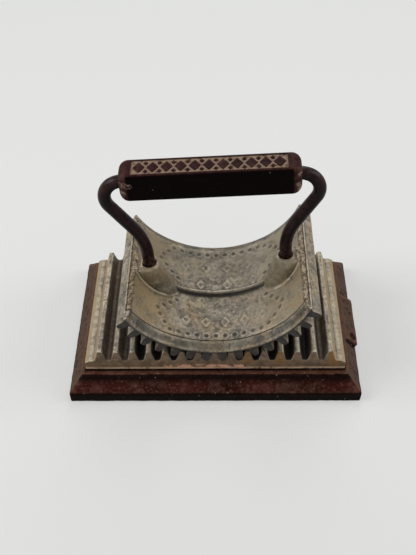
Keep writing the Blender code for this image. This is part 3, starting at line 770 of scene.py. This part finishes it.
def model_rod():
    """The handle rod: a round bar bent outwards, then round and into the grip."""
    slope, bend, crook = rod_path()
    deselect()
    bpy.ops.mesh.primitive_circle_add(vertices=28, radius=ROD_RADIUS, fill_type="NGON",
                                      location=(FOOT_X, 0, ROD_FOOT))
    rod = named("painted_rod")
    edit(rod)
    bpy.ops.mesh.select_all(action="SELECT")
    draw_out(Vector((0, 0, bend.z - ROD_FOOT)), 6)
    bpy.ops.mesh.spin(steps=10, angle=-slope, center=bend, axis=(0, 1, 0))
    leave = bend + SHOULDER_RADIUS * Vector((-math.cos(slope), 0, math.sin(slope)))
    enter = crook + CROOK_RADIUS * Vector((math.cos(slope), 0, -math.sin(slope)))
    draw_out(enter - leave, 8)
    bpy.ops.mesh.spin(steps=28, angle=math.radians(90) + slope, center=crook, axis=(0, 1, 0))
    draw_out(Vector((-crook.x, 0, 0)), 20)
    bpy.ops.mesh.delete(type="ONLY_FACE")
    close_edit()
    modify(rod, "MIRROR", use_axis=(True, False, False), merge_threshold=0.02 * MM)
    edit(rod)
    face_outwards()
    close_edit()
    return rod


def model_grip(sizes):
    """The grip: a squared bar with rounded edges, domed ends and a sunk panel on top."""
    straight = GRIP_LENGTH - 2 * GRIP_DOME
    dome_steps, end_share = 7, 0.5
    grip = block("painted_grip", (straight, GRIP_WIDTH, GRIP_HEIGHT), (0, 0, 0))
    edit(grip)
    choose(grip, "EDGE",
           lambda edge: abs(edge.verts[0].co.x - edge.verts[1].co.x) > straight / 2)
    round_off(GRIP_EDGE, 4)
    for side in (-1, 1):
        before = 1.0
        choose(grip, "FACE", lambda face: side * face.normal.x > 0.9)
        for step in range(1, dome_steps + 1):
            angle = math.radians(90 * step / dome_steps)
            last = math.radians(90 * (step - 1) / dome_steps)
            share = end_share + (1 - end_share) * math.cos(angle)
            push((side * GRIP_DOME * (math.sin(angle) - math.sin(last)), 0, 0))
            widen((1, share / before, share / before))
            before = share
    panel_end = PANEL_LENGTH / 2
    cut((panel_end, 0, 0), (1, 0, 0))
    cut((-panel_end, 0, 0), (1, 0, 0))
    choose(grip, "FACE", lambda face: face.normal.z > 0.95 and abs(middle(face).x) < panel_end
           and near(middle(face).z, GRIP_HEIGHT / 2, 0.05 * MM))
    bpy.ops.mesh.inset(thickness=0.2 * MM)
    push((0, 0, -PANEL_SINK))
    widen((0.997, 0.97, 1))
    slice_grid(0, -straight / 2, straight / 2, sizes.grid)
    slice_grid(1, -GRIP_WIDTH / 2, GRIP_WIDTH / 2, sizes.grid)
    slice_grid(2, -GRIP_HEIGHT / 2, GRIP_HEIGHT / 2, sizes.grid)
    close_edit()
    grip.data.transform(Matrix.Translation((0, 0, GRIP_CENTRE)))
    return grip


def model_grip_ornament():
    """A row of plain raised lozenges and studs in the grip's sunk panel."""
    top = GRIP_CENTRE + GRIP_HEIGHT / 2 - PANEL_SINK
    spacing, count, relief = 6.5 * MM, 11, 0.40 * MM
    wide = lozenge(5.6 * MM, 7.4 * MM, relief, 0.25 * MM)
    small = lozenge(2.2 * MM, 2.6 * MM, relief, 0.0)
    middles = [spacing * (i - (count - 1) / 2) for i in range(count)]
    places = [Matrix.Translation((x, 0, top)) for x in middles]
    between = [Matrix.Translation((x + spacing / 2, side * 2.9 * MM, top))
               for x in middles[:-1] for side in (-1, 1)]
    return joined(copies(wide, places) + copies(small, between), "grip_ornament")


def add(tree, kind, inputs=None, **settings):
    """Add a shader node with its settings, and give each input a value or a link."""
    node = tree.nodes.new("ShaderNode" + kind)
    for key, value in settings.items():
        setattr(node, key, value)
    for key, value in (inputs or {}).items():
        if isinstance(value, bpy.types.NodeSocket):
            tree.links.new(value, node.inputs[key])
        else:
            node.inputs[key].default_value = value
    return node


def empty_tree(owner):
    """The node tree of a material or a world, with nothing in it."""
    owner.use_nodes = True
    owner.node_tree.nodes.clear()
    return owner.node_tree


def product(tree, a, b):
    """The product of two shares."""
    return add(tree, "Math", {0: a, 1: b}, operation="MULTIPLY").outputs[0]


def mask(tree, sources, amount):
    """Multiply patterns and wear marks into one share, each cut between two levels."""
    share = None
    for kind, low, high, *size in sources:
        if kind in ("noise", "streaks"):
            place = add(tree, "TexCoord").outputs["Object"]
            if kind == "streaks":
                place = add(tree, "Mapping", {"Vector": place, "Scale": (0.3, 1, 1)}).outputs[0]
            value = add(tree, "TexNoise", {"Vector": place, "Scale": 1 / (size[0] * MM),
                                           "Detail": 5, "Roughness": 0.62}).outputs[0]
        elif kind == "specks":
            place = add(tree, "TexCoord").outputs["Object"]
            value = add(tree, "TexVoronoi", {"Vector": place,
                                             "Scale": 1 / (size[0] * MM)}).outputs["Distance"]
        else:
            value = add(tree, "Attribute", attribute_name=kind).outputs["Fac"]
        level = add(tree, "MapRange", {"Value": value, "From Min": low, "From Max": high,
                                       "To Min": 0, "To Max": 1}).outputs[0]
        share = product(tree, share, level) if share else level
    return product(tree, share, amount)


def finish(name, ground, roughness, metallic, layers, bumps, specular=0.5):
    """A worn surface: a ground colour, layers of stain and wear over it, and fine bumps.

    A layer is a colour, its roughness, how much of it shows, and the patterns and marks that
    place it, each with its two levels and a pattern's width. A bump is the width and height
    of its grain. All of these widths and heights are in millimetres.
    """
    ready = bpy.data.materials.get(name)
    if ready:
        return ready
    material = bpy.data.materials.new(name)
    tree = empty_tree(material)
    tint = add(tree, "RGB")
    tint.outputs[0].default_value = (*ground, 1)
    tint, rough = tint.outputs[0], roughness
    for shade, gloss, amount, sources in layers:
        share = mask(tree, sources, amount)
        tint = add(tree, "Mix", {0: share, 6: tint, 7: (*shade, 1)}, data_type="RGBA").outputs[2]
        rough = add(tree, "Mix", {0: share, 2: rough, 3: gloss}, data_type="FLOAT").outputs[0]
    place = add(tree, "TexCoord").outputs["Object"]
    normal = None
    for width, height in bumps:
        grain = add(tree, "TexNoise", {"Vector": place, "Scale": 1 / (width * MM),
                                       "Detail": 4}).outputs[0]
        links = {"Height": grain, "Distance": height * MM, "Strength": 1}
        if normal:
            links["Normal"] = normal
        normal = add(tree, "Bump", links).outputs[0]
    shader = add(tree, "BsdfPrincipled", {"Base Color": tint, "Roughness": rough,
                                          "Metallic": metallic, "Normal": normal,
                                          "Specular IOR Level": specular})
    add(tree, "OutputMaterial", {"Surface": shader.outputs[0]})
    return material


def iron_layers(c, bright):
    """Stains and wear of handled cast iron: a mottled skin, hollows darkened by dirt and painted
    shade, and bright edges.
    """
    return [
        (c.iron_pale, 0.45, 0.75, [("noise", 0.44, 0.60, 11)]),
        (c.iron_tan, 0.55, 0.65, [("noise", 0.48, 0.62, 17)]),
        (c.iron_grey, 0.60, 0.70, [("noise", 0.49, 0.62, 6)]),
        (c.iron_dark, 0.65, 0.52, [("noise", 0.50, 0.62, 2.3)]),
        (c.iron_pale, 0.45, 0.60, [("noise", 0.51, 0.64, 1.6)]),
        (c.iron_dark, 0.75, 0.80, [("specks", 0.26, 0.10, 2.1), ("noise", 0.44, 0.54, 9)]),
        # Dirt and painted shade in the hollows
        (c.iron_dark, 0.70, 0.90, [("hollow_dirt_and_shade", 0.05, 0.70)]),
        (c.iron_bright, 0.35, bright, [("edge", 0.15, 0.80), ("noise", 0.36, 0.58, 2.6)]),
    ]


def rocker_iron(c):
    """Handled cast iron, sand cast and filed: dull grey-brown, pitted, bright where rubbed; painted
    light pales the saddle's right wing, painted shade darkens the ribs' front and back faces and
    the ring middles, and dirt and painted shade darken the hollows.
    """
    layers = iron_layers(c, 0.45) + [
        (c.iron_tan, 0.50, 0.70, [("smoke", 0, 1), ("noise", 0.36, 0.56, 8)]),
        (c.iron_grey, 0.60, 0.40, [("back", 0, 1)]),
        # Painted light: the saddle's right wing, which faces the left lamp, is made paler
        (c.iron_pale, 0.50, 0.45, [("rubbed", 0, 1), ("noise", 0.34, 0.54, 6)]),
        # Painted shade in the middles of the bead rings
        (c.iron_dark, 0.70, 0.55, [("dimple", 0.1, 0.7)]),
        (c.iron_grey, 0.60, 0.55, [("boss", 0.2, 0.8), ("noise", 0.40, 0.60, 4)]),
        (c.iron_dark, 0.70, 0.65, [("ridge", 0.2, 0.8)]),
        (c.iron_bright, 0.40, 0.40, [("bead", 0.2, 0.8)]),
        (c.iron_pale, 0.45, 0.60, [("end", 0.2, 0.8), ("noise", 0.38, 0.55, 3)]),
        # Painted shade on the front and back faces of the rocker's ribs
        (c.rib_face_shade, 0.70, 0.92, [("front", 0.2, 0.8)]),
        (c.iron_dark, 0.70, 0.60, [("front", 0.2, 0.8), ("noise", 0.44, 0.58, 3.5)]),
        (c.rust, 0.85, 0.80, [("joint", 0.2, 0.6), ("noise", 0.44, 0.54, 1.5)]),
        (c.chalk, 0.80, 0.90, [("chalk", 0.1, 0.6), ("noise", 0.40, 0.56, 2)]),
    ]
    return finish("handled_cast_iron", c.iron, 0.55, 0.25, layers, IRON_BUMPS)


def plate_iron(c):
    """Heated cast iron: as the rocker, with a smoked front, burnt bronze and copper on it, and the
    rocker's painted shadow in the grooves under it.
    """
    layers = iron_layers(c, 0.85) + [
        (c.iron_tan, 0.50, 0.90, [("flank", 0.1, 0.7), ("noise", 0.28, 0.46, 5)]),
        (c.iron_pale, 0.42, 0.18, [("flank", 0.2, 0.9), ("noise", 0.48, 0.60, 3)]),
        (c.groove, 0.70, 0.75, [("groove", 0.1, 0.9), ("noise", 0.34, 0.52, 4)]),
        # Painted shadow of the rocker in the grooves under it
        (c.painted_rocker_shadow, 0.80, 0.95, [("painted_rocker_shadow", 0.1, 0.9)]),
        (c.olive, 0.65, 0.86, [("front", 0.2, 0.9)]),
        (c.iron_dark, 0.70, 0.42, [("front", 0.2, 0.9), ("noise", 0.46, 0.60, 4)]),
        (c.bronze, 0.42, 0.92, [("stain", 0.15, 0.55), ("noise", 0.34, 0.48, 3)]),
        (c.copper, 0.38, 0.90, [("copper", 0.15, 0.70), ("noise", 0.44, 0.54, 2.6)]),
        (c.rim, 0.38, 0.90, [("rim", 0.15, 0.70), ("noise", 0.32, 0.46, 4.6)]),
    ]
    return finish("heated_cast_iron", c.iron, 0.55, 0.25, layers, IRON_BUMPS)


def base_paint(c):
    """Old maroon paint on a casting: half dull, dusty and lighter on top, partly as painted light,
    with painted shade on its slope tops and low edge, and chipped to pale specks.
    """
    layers = [
        (c.maroon_dark, 0.55, 0.75, [("noise", 0.44, 0.62, 14)]),
        (c.maroon_worn, 0.60, 0.60, [("noise", 0.50, 0.68, 1.5)]),
        (c.maroon_worn, 0.60, 0.35, [("noise", 0.46, 0.60, 7)]),
        # Rubbed paint, and painted light on the up-facing lands
        (c.maroon_lit, 0.62, 0.90, [("top", 0.3, 0.9), ("noise", 0.28, 0.48, 6)]),
        (c.maroon_dusty, 0.62, 0.95, [("flank", 0.2, 0.8), ("noise", 0.24, 0.44, 7)]),
        (c.maroon_dark, 0.60, 0.70, [("flank", 0.2, 0.8), ("noise", 0.52, 0.66, 3)]),
        (c.maroon_worn, 0.45, 0.55, [("edge", 0.12, 0.7), ("noise", 0.38, 0.56, 3)]),
        # Dirt and painted shade in the hollows
        (c.maroon_dark, 0.75, 0.85, [("hollow_dirt_and_shade", 0.10, 0.7)]),
        # Painted shade on the tops of the front and back slopes
        (c.maroon_dark, 0.60, 0.90, [("slope_top_shade", 0.1, 0.9)]),
        # Painted shade on the low upright edge
        (c.maroon_dark, 0.60, 0.95, [("side", 0.1, 0.9)]),
        (c.maroon_dark, 0.90, 0.97, [("seam", 0.2, 0.8)]),
        (c.dent, 0.50, 0.80, [("dent", 0.2, 1.0)]),
        (c.chip, 0.50, 0.75, [("specks", 0.17, 0.09, 2.6), ("noise", 0.48, 0.58, 12)]),
    ]
    return finish("old_maroon_paint", c.maroon, 0.50, 0.0, layers,
                  [(0.9, 0.12), (4.5, 0.22)], specular=0.04)


def handle_paint(c):
    """Thick dark enamel on the handle: dull with age, chipped on its edges, with painted shade on
    the grip's front face.
    """
    layers = [
        (c.handle_dark, 0.50, 0.60, [("noise", 0.46, 0.62, 3)]),
        (c.handle_worn, 0.55, 0.65, [("noise", 0.52, 0.68, 6)]),
        (c.handle_worn, 0.45, 0.80, [("edge", 0.15, 0.8), ("noise", 0.36, 0.54, 3)]),
        # Painted shade on the grip's front face
        (c.handle_dark, 0.45, 0.95, [("under", 0.1, 0.7)]),
        (c.dust, 0.85, 0.90, [("panel", 0.3, 0.8), ("noise", 0.28, 0.50, 2.0)]),
        (c.chip, 0.45, 0.50, [("specks", 0.12, 0.06, 3.6), ("noise", 0.53, 0.60, 9)]),
        (c.chip, 0.50, 0.90, [("chipped", 0.2, 0.8), ("noise", 0.44, 0.52, 1.2)]),
    ]
    return finish("dark_handle_enamel", c.handle, 0.45, 0.0, layers,
                  [(0.7, 0.06), (3.2, 0.14)], specular=0.03)


def rod_paint(c):
    """Thin dark enamel on the bent rod: glossy where hands polished it and lighter on top as a
    painted highlight, darker below as painted shade, brown where it wore.
    """
    layers = [
        # Polish, and a painted highlight on the faces turned up
        (c.handle_worn, 0.34, 0.45, [("polish_and_highlight", 0.1, 0.9), ("streaks", 0.40, 0.62, 5)]),
        (c.handle_dark, 0.40, 0.80, [("noise", 0.44, 0.60, 3)]),
        # Painted shade on the underside
        (c.handle_dark, 0.40, 0.95, [("under", 0.1, 0.7)]),
        (c.maroon_worn, 0.45, 0.60, [("foot", 0.1, 0.9), ("noise", 0.50, 0.60, 1.6)]),
    ]
    return finish("polished_rod_enamel", c.handle, 0.30, 0.0, layers,
                  [(0.7, 0.05), (3.2, 0.14)], specular=0.12)


def aged_steel(c):
    """Turned mild steel gone brown with age, as on the hidden screws and pins."""
    layers = [(c.iron_dark, 0.6, 0.6, [("noise", 0.45, 0.65, 2.5)]),
              (c.rust, 0.8, 0.5, [("noise", 0.55, 0.70, 1.2)])]
    return finish("aged_screw_steel", c.steel, 0.42, 0.9, layers, [(0.3, 0.02)])


def dull_brass(c):
    """Rolled sheet brass, dulled by heat, with faint streaks along its rolling."""
    layers = [(c.bronze, 0.45, 0.6, [("streaks", 0.42, 0.66, 3)]),
              (c.iron_dark, 0.6, 0.4, [("noise", 0.55, 0.70, 4)])]
    return finish("dull_sheet_brass", c.brass, 0.36, 0.9, layers, [(0.4, 0.01)])


def ramp(values, none, full):
    """A share that grows from 0 to 1 as the values go from one level to another."""
    return np.clip((values - none) / (full - none), 0, 1)


def facing(piece, direction, low, high):
    """How far each corner's surface faces a direction, cut between two levels."""
    turned = points_of(piece.data, "normal") @ np.array(direction, np.float32)
    return ramp(turned, low, high)


def facing_both(piece, direction, low, high):
    """As facing, for a direction and the same one turned half round the upright axis."""
    opposite = (-direction[0], -direction[1], direction[2])
    return np.maximum(facing(piece, direction, low, high), facing(piece, opposite, low, high))


def about_axis(points):
    """Each corner's distance from the roll axis, and its turn from straight below it."""
    radius = np.hypot(points[:, 0], points[:, 2])
    return radius, np.abs(np.arctan2(points[:, 0], -points[:, 2]))


def spots(points, places, radius):
    """How near each corner lies to one of several places, within a radius."""
    share = np.zeros(len(points))
    for place in places:
        share = np.maximum(share, 1 - np.linalg.norm(points - np.array(place), axis=1) / radius)
    return share


def fade(mesh, name, share):
    """Weaken a stored mark."""
    values = np.empty(len(mesh.vertices), np.float32)
    mesh.attributes[name].data.foreach_get("value", values)
    attribute(mesh, name, values * share)


def camera_only(tree, seen, other):
    """Show one surface to the camera and to mirrors and glass, and another to the light."""
    path = add(tree, "LightPath")
    total = path.outputs["Is Camera Ray"]
    for name in ("Is Glossy Ray", "Is Transmission Ray"):
        total = add(tree, "Math", {0: total, 1: path.outputs[name]}, operation="MAXIMUM").outputs[0]
    return add(tree, "MixShader", {0: total, 1: other, 2: seen}).outputs[0]


def plain_floor(c):
    """Matt pale board: it shows no grain, only the object's soft shadow."""
    material = bpy.data.materials.new("pale_matt_board")
    tree = empty_tree(material)
    board = add(tree, "BsdfDiffuse", {"Color": (*c.floor, 1)}).outputs[0]
    glow = add(tree, "Emission", {"Color": (*c.floor, 1), "Strength": 1.0}).outputs[0]
    place = add(tree, "TexCoord").outputs["Object"]
    away = add(tree, "VectorMath", {0: place}, operation="LENGTH").outputs["Value"]
    share = add(tree, "MapRange", {"Value": away, "From Min": GLOW_START,
                                   "From Max": GLOW_FULL, "To Min": 0.5}).outputs[0]
    seen = add(tree, "MixShader", {0: share, 1: board, 2: glow}).outputs[0]
    add(tree, "OutputMaterial", {"Surface": camera_only(tree, seen, board)})
    return material


def soft_sky(world, c):
    """An even pale sky that lights softly and shows the floor's colour behind the object."""
    tree = empty_tree(world)
    seen = add(tree, "Background", {"Color": (*c.floor, 1), "Strength": 1.0}).outputs[0]
    light = add(tree, "Background", {"Color": (1, 1, 1, 1), "Strength": 0.20}).outputs[0]
    add(tree, "OutputWorld", {"Surface": camera_only(tree, seen, light)})


def mark_base(base):
    """Store the base's rubbed top, lighter partly as painted light and less so in painted shade
    along the plate's front and back, its dusty ends, the painted shade on its slope tops and low
    edge, the seam at the plate and the dent.
    """
    mesh, points = base.data, points_of(base.data)
    x, y, z = np.abs(points[:, 0]), np.abs(points[:, 1]), points[:, 2]
    upwards = facing(base, (0, 0, 1), 0.8, 0.98)
    slope = facing_both(base, (0, 1, 0), 0.3, 0.5)
    turned_over = facing(base, (0, 0, 1), 0.2, 0.5) * (x > TOP_END) * (1 - slope)
    flank = np.maximum(facing_both(base, (1, 0, 0), 0.4, 0.6), turned_over)
    # Lighter up-facing lands, partly painted light, and 35 per cent weaker along the plate's front
    # and back edges as painted shade
    attribute(mesh, "top", upwards * (x < TOP_RIM) * (1 - 0.35 * (y > 38 * MM)))
    attribute(mesh, "flank", flank * (z > 5.2 * MM))
    # Painted shade on the low upright edge
    attribute(mesh, "side", ramp(z, 6.8 * MM, 5.8 * MM))
    # Painted shade on the tops of the front and back slopes
    attribute(mesh, "slope_top_shade", slope * ramp(z, 9.5 * MM, 12.5 * MM))
    seam = np.minimum(ramp(y, SEAM_Y, SEAM_Y - SEAM_WIDTH), ramp(x, SEAM_X, SEAM_X - SEAM_WIDTH))
    attribute(mesh, "seam", seam * (z > 13 * MM))
    attribute(mesh, "dent", spots(points, [DENT_CENTRE], DENT_RADIUS + 0.5 * MM) * 5)


def mark_plate(plate):
    """Store the plate's smoked sides, stains, bright low edge, rubbed ends, dusty grooves and the
    rocker's painted shadow in the grooves under it.
    """
    mesh, points = plate.data, points_of(plate.data)
    x, height = points[:, 0], points[:, 2] - PLATE_LOW.z
    near_side = facing(plate, (0, -1, 0), 0.3, 0.8)
    front = near_side + facing(plate, (0, 1, 0), 0.3, 0.8)
    margin = np.abs(x) > MARGIN_START
    ribs = [ramp(np.abs(x - rib * RIB_PITCH), 3.84 * MM, 1.44 * MM) for rib in BRONZE_RIBS]
    band = ramp(x, -26 * MM, -22 * MM) * ramp(x, 18 * MM, 14 * MM)
    low = ramp(height, 12 * MM, 9.5 * MM) * (front < 0.3)
    # Painted shadow of the rocker: full under it, weaker towards the plate's open front
    under_rocker = ramp(np.abs(x - 3 * MM), 50 * MM, 44 * MM)
    weaker_shadow_at_front = 0.45 + 0.55 * (points[:, 1] > -36 * MM)
    attribute(mesh, "front", front)
    attribute(mesh, "stain", near_side * sum(ribs) * ramp(height, 1.2 * MM, 4.2 * MM))
    attribute(mesh, "copper", near_side * band * ramp(height, 4.2 * MM, 2.2 * MM))
    attribute(mesh, "rim", front * ramp(height, 1.5 * MM, 1.0 * MM))
    attribute(mesh, "flank", facing_both(plate, (1, 0, 0.3), 0.5, 0.8) * margin)
    attribute(mesh, "groove", low * ~margin)
    attribute(mesh, "painted_rocker_shadow", low * under_rocker * weaker_shadow_at_front)
    fade(mesh, "edge", 1 - 0.5 * margin)


def mark_segment(segment):
    """Store the front and back faces of the segment's ribs, darkened as painted shade, and its pale
    flat ends.
    """
    radius, turn = about_axis(points_of(segment.data))
    teeth = ramp(radius, 48.7 * MM, 49.2 * MM)
    # Painted shade on the ribs' front and back faces
    attribute(segment.data, "front", facing_both(segment, (0, 1, 0), 0.3, 0.8) * teeth)
    attribute(segment.data, "end", (turn > math.radians(65.6)) * (radius > 48.6 * MM))


def mark_joint(piece):
    """Store where rust sits in the joint between the saddle and the segment, at their ends."""
    radius, turn = about_axis(points_of(piece.data))
    inward = (end_turn() - turn) * radius
    attribute(piece.data, "joint", ramp(inward, 2.2 * MM, 0.7 * MM) * (radius < 49.2 * MM))


def mark_bosses(saddle):
    """Store where the bosses and the thin bead round their feet are."""
    points = points_of(saddle.data)
    x, y = np.abs(points[:, 0]), np.abs(points[:, 1])
    rise = SADDLE_RADIUS - about_axis(points)[0]
    reach = np.hypot((x - 33 * MM) / (12 * MM), y / (8.6 * MM))
    attribute(saddle.data, "boss", ramp(rise, 0.9 * MM, 1.4 * MM) * (reach < 1.1))
    bead = (rise > 0.25 * MM) & (rise < 0.75 * MM) & (reach > 0.8) & (reach < 1.25)
    off_ridge = y / (9 * MM) + (x - 34 * MM) / (16 * MM) > 0.45
    attribute(saddle.data, "bead", bead & off_ridge)


def mark_saddle(saddle, sizes):
    """Store the saddle's dimples, whose middles take painted shade, smoked sides, dark ridge, white
    spot and a right wing paled by painted light, and dull its rims.
    """
    mesh, points = saddle.data, points_of(saddle.data)
    radius, turn = about_axis(points)
    x, y = points[:, 0], points[:, 1]
    rings = [place.translation for side in (-1, 1) for place in garland(side, sizes)]
    # Painted shade inside the rings
    attribute(mesh, "dimple", spots(points, rings, 2.0 * MM) * 1.5)
    attribute(mesh, "smoke", ramp(turn, math.radians(22), math.radians(48)))
    attribute(mesh, "back", ramp(y, 4 * MM, 20 * MM))
    # Painted light on the right wing
    attribute(mesh, "rubbed", ramp(x, 8 * MM, 22 * MM))
    near_ridge = (y > -1.9 * MM) & (y < 0.1 * MM) & (turn < math.radians(39))
    attribute(mesh, "ridge", near_ridge & (radius > SADDLE_RADIUS - 2.2 * MM))
    chalk = [on_saddle(math.radians(turn), y * MM).translation for turn, y in CHALK_SPOTS]
    attribute(mesh, "chalk", spots(points, chalk, 4 * MM) * 1.4)
    inside = ramp(np.abs(y), 31.2 * MM, 30.4 * MM) * (turn < math.radians(64.5))
    fade(mesh, "edge", np.maximum(inside, 0.1))


def mark_rod(rod):
    """Store the rod's underside, darkened as painted shade, its polished top, lightened as a
    painted highlight, and its brown foot.
    """
    # Painted shade below, painted highlight above
    attribute(rod.data, "under", facing(rod, (0, -0.6, -0.8), 0.2, 0.9) * 0.8)
    attribute(rod.data, "polish_and_highlight", facing(rod, (0, -0.4, 0.9), 0.3, 0.9))
    attribute(rod.data, "foot", ramp(points_of(rod.data)[:, 2], 14 * MM, 0))


def mark_grip(grip):
    """Store the floor of the grip's panel, its front darkened as painted shade, and its chips."""
    mesh, points = grip.data, points_of(grip.data)
    x, y, z = np.abs(points[:, 0]), np.abs(points[:, 1]), points[:, 2]
    sunk = GRIP_CENTRE + GRIP_HEIGHT / 2 - 0.3 * MM
    panel = (z < sunk) & (z > sunk - 0.3 * MM) & (y < 5.6 * MM) & (x < PANEL_LENGTH / 2)
    attribute(mesh, "panel", panel)
    # Painted shade on the front face
    attribute(mesh, "under", facing(grip, (0, -1, 0), 0.3, 0.8) * (x < 38.5 * MM))
    attribute(mesh, "chipped", spots(points, CHIPS, 2.2 * MM) * 1.5)


class IronOperator:
    """What every operator of this object shares."""
    bl_options = {"REGISTER", "UNDO"}

    @property
    def sizes(self):
        """The sizes that the user set."""
        return bpy.context.scene.iron_sizes

    @property
    def colours(self):
        """The colours that the user set."""
        return bpy.context.scene.iron_colours


class IRON_OT_base(IronOperator, bpy.types.Operator):
    """Model the painted base"""
    bl_idname = "iron.base"
    bl_label = "Painted Base"

    def execute(self, context):
        base = model_base(self.sizes)
        roughen(base, self.sizes.lump, 2 * self.sizes.lump_height)
        keep_within(base, "base_casting")
        mark_wear(base, 14, 0.30 * MM)
        mark_base(base)
        settle(base, "base", "base_paint", base_paint(self.colours), "base_casting")
        return {"FINISHED"}


class IRON_OT_plate(IronOperator, bpy.types.Operator):
    """Model the ribbed plate"""
    bl_idname = "iron.plate"
    bl_label = "Ribbed Plate"

    def execute(self, context):
        plate = model_plate(self.sizes)
        roughen(plate, self.sizes.lump, self.sizes.lump_height)
        keep_within(plate, "flute_plate")
        mark_wear(plate, 3, 0.20 * MM)
        mark_plate(plate)
        settle(plate, "base", "plate_iron", plate_iron(self.colours), "flute_plate")
        return {"FINISHED"}


class IRON_OT_segment(IronOperator, bpy.types.Operator):
    """Model the rocker's ribbed segment"""
    bl_idname = "iron.segment"
    bl_label = "Ribbed Segment"

    def execute(self, context):
        segment = model_segment(self.sizes)
        roughen(segment, self.sizes.lump, self.sizes.lump_height)
        mark_wear(segment, 3, 0.20 * MM)
        mark_joint(segment)
        mark_segment(segment)
        segment.data.transform(rocker_place())
        keep_within(segment, "flute_segment")
        settle(segment, "rocker", "rocker_iron", rocker_iron(self.colours), "flute_segment")
        return {"FINISHED"}


class IRON_OT_saddle(IronOperator, bpy.types.Operator):
    """Model the saddle with its bosses, ridge and raised ornament"""
    bl_idname = "iron.saddle"
    bl_label = "Saddle"

    def execute(self, context):
        saddle = model_saddle(self.sizes)
        roughen(saddle, self.sizes.lump, self.sizes.lump_height)
        mark_wear(saddle, 10, 0.22 * MM)
        mark_joint(saddle)
        mark_bosses(saddle)
        mark_saddle(saddle, self.sizes)
        saddle.data.transform(rocker_place())
        keep_within(saddle, "rocker_saddle")
        settle(saddle, "rocker", "rocker_iron", rocker_iron(self.colours), "rocker_saddle")
        return {"FINISHED"}


class IRON_OT_rod(IronOperator, bpy.types.Operator):
    """Model the handle rod"""
    bl_idname = "iron.rod"
    bl_label = "Handle Rod"

    def execute(self, context):
        rod = model_rod()
        roughen(rod, 5 * MM, 0.16 * MM)
        mark_rod(rod)
        rod.data.transform(handle_place())
        keep_within(rod, "handle_bail")
        settle(rod, "rocker", "handle_paint", rod_paint(self.colours), "handle_bail")
        return {"FINISHED"}


class IRON_OT_grip(IronOperator, bpy.types.Operator):
    """Model the grip and the ornament in its sunk panel"""
    bl_idname = "iron.grip"
    bl_label = "Grip"

    def execute(self, context):
        grip = model_grip(self.sizes)
        mark_grip(grip)
        mark_wear(grip, 3, 0.25 * MM)
        grip.data.transform(handle_place())
        keep_within(grip, "handle_grip")
        settle(grip, "rocker", "handle_paint", handle_paint(self.colours), "handle_grip")
        ornament = model_grip_ornament()
        modify(ornament, "BEVEL", width=0.12 * MM, segments=2)
        ornament.data.transform(handle_place())
        keep_within(ornament, "handle_grip")
        settle(ornament, "rocker", "handle_paint", handle_paint(self.colours), "handle_grip")
        return {"FINISHED"}


class IRON_OT_fastenings(IronOperator, bpy.types.Operator):
    """Finish the screws, pins and packing shim, whose shapes stay as they are"""
    bl_idname = "iron.fastenings"
    bl_label = "Screws, Pins and Shim"

    def execute(self, context):
        for name in frame["nodes"]:
            if "screw" in name or "pin" in name or "shim" in name:
                made = dull_brass if "shim" in name else aged_steel
                for slot in bpy.data.objects[name].material_slots:
                    slot.material = made(self.colours)
        return {"FINISHED"}


class IRON_OT_stage(IronOperator, bpy.types.Operator):
    """Lay the floor and set the lamps, the sky and the camera"""
    bl_idname = "iron.stage"
    bl_label = "Stage"

    def execute(self, context):
        deselect()
        bpy.ops.mesh.primitive_plane_add(size=FLOOR_SIZE, location=(0, 0, 0))
        floor = named("floor")
        floor.data.materials.append(plain_floor(self.colours))
        scene = bpy.context.scene
        world = scene.world or bpy.data.worlds.new("soft_sky")
        scene.world = world
        soft_sky(world, self.colours)
        for name, place, aim, width, power in LAMPS:
            lamp = bpy.data.objects.new(name, bpy.data.lights.new(name, "AREA"))
            lamp.data.size, lamp.data.energy = width, power
            lamp.location = place
            lamp.rotation_euler = (Vector(aim) - Vector(place)).to_track_quat("-Z", "Y").to_euler()
            scene.collection.objects.link(lamp)
        camera = bpy.data.objects.new("camera", bpy.data.cameras.new("camera"))
        camera.data.lens = LENS
        camera.data.sensor_width = SENSOR
        pan, tilt, roll = (Matrix.Rotation(math.radians(turn), 4, axis)
                           for axis, turn in CAMERA_TURNS)
        camera.matrix_world = Matrix.Translation(CAMERA_PLACE) @ (pan @ tilt) @ roll
        scene.collection.objects.link(camera)
        scene.camera = camera
        scene.view_settings.view_transform = "Standard"
        return {"FINISHED"}


STEPS = (IRON_OT_base, IRON_OT_plate, IRON_OT_segment, IRON_OT_saddle, IRON_OT_rod,
         IRON_OT_grip, IRON_OT_fastenings, IRON_OT_stage)


class IRON_PT_panel(bpy.types.Panel):
    """The steps that make the iron, with its sizes and colours"""
    bl_label = "Fluting Iron"
    bl_space_type = "VIEW_3D"
    bl_region_type = "UI"
    bl_category = "Fluting Iron"

    def draw(self, context):
        for group in (context.scene.iron_sizes, context.scene.iron_colours):
            for name in group.__annotations__:
                self.layout.prop(group, name)
        for step in STEPS:
            self.layout.operator(step.bl_idname)


CLASSES = (IronSizes, IronColours, *STEPS, IRON_PT_panel)


def register():
    """Register the classes and hang the settings on the scene."""
    for item in CLASSES:
        bpy.utils.register_class(item)
    bpy.types.Scene.iron_sizes = PointerProperty(type=IronSizes)
    bpy.types.Scene.iron_colours = PointerProperty(type=IronColours)


def unregister():
    """Take the settings and the classes away."""
    del bpy.types.Scene.iron_colours
    del bpy.types.Scene.iron_sizes
    for item in reversed(CLASSES):
        bpy.utils.unregister_class(item)


def main():
    """Make the whole object and its stage."""
    register()
    for step in STEPS:
        group, name = step.bl_idname.split(".")
        getattr(getattr(bpy.ops, group), name)()


if __name__ == "__main__":
    main()
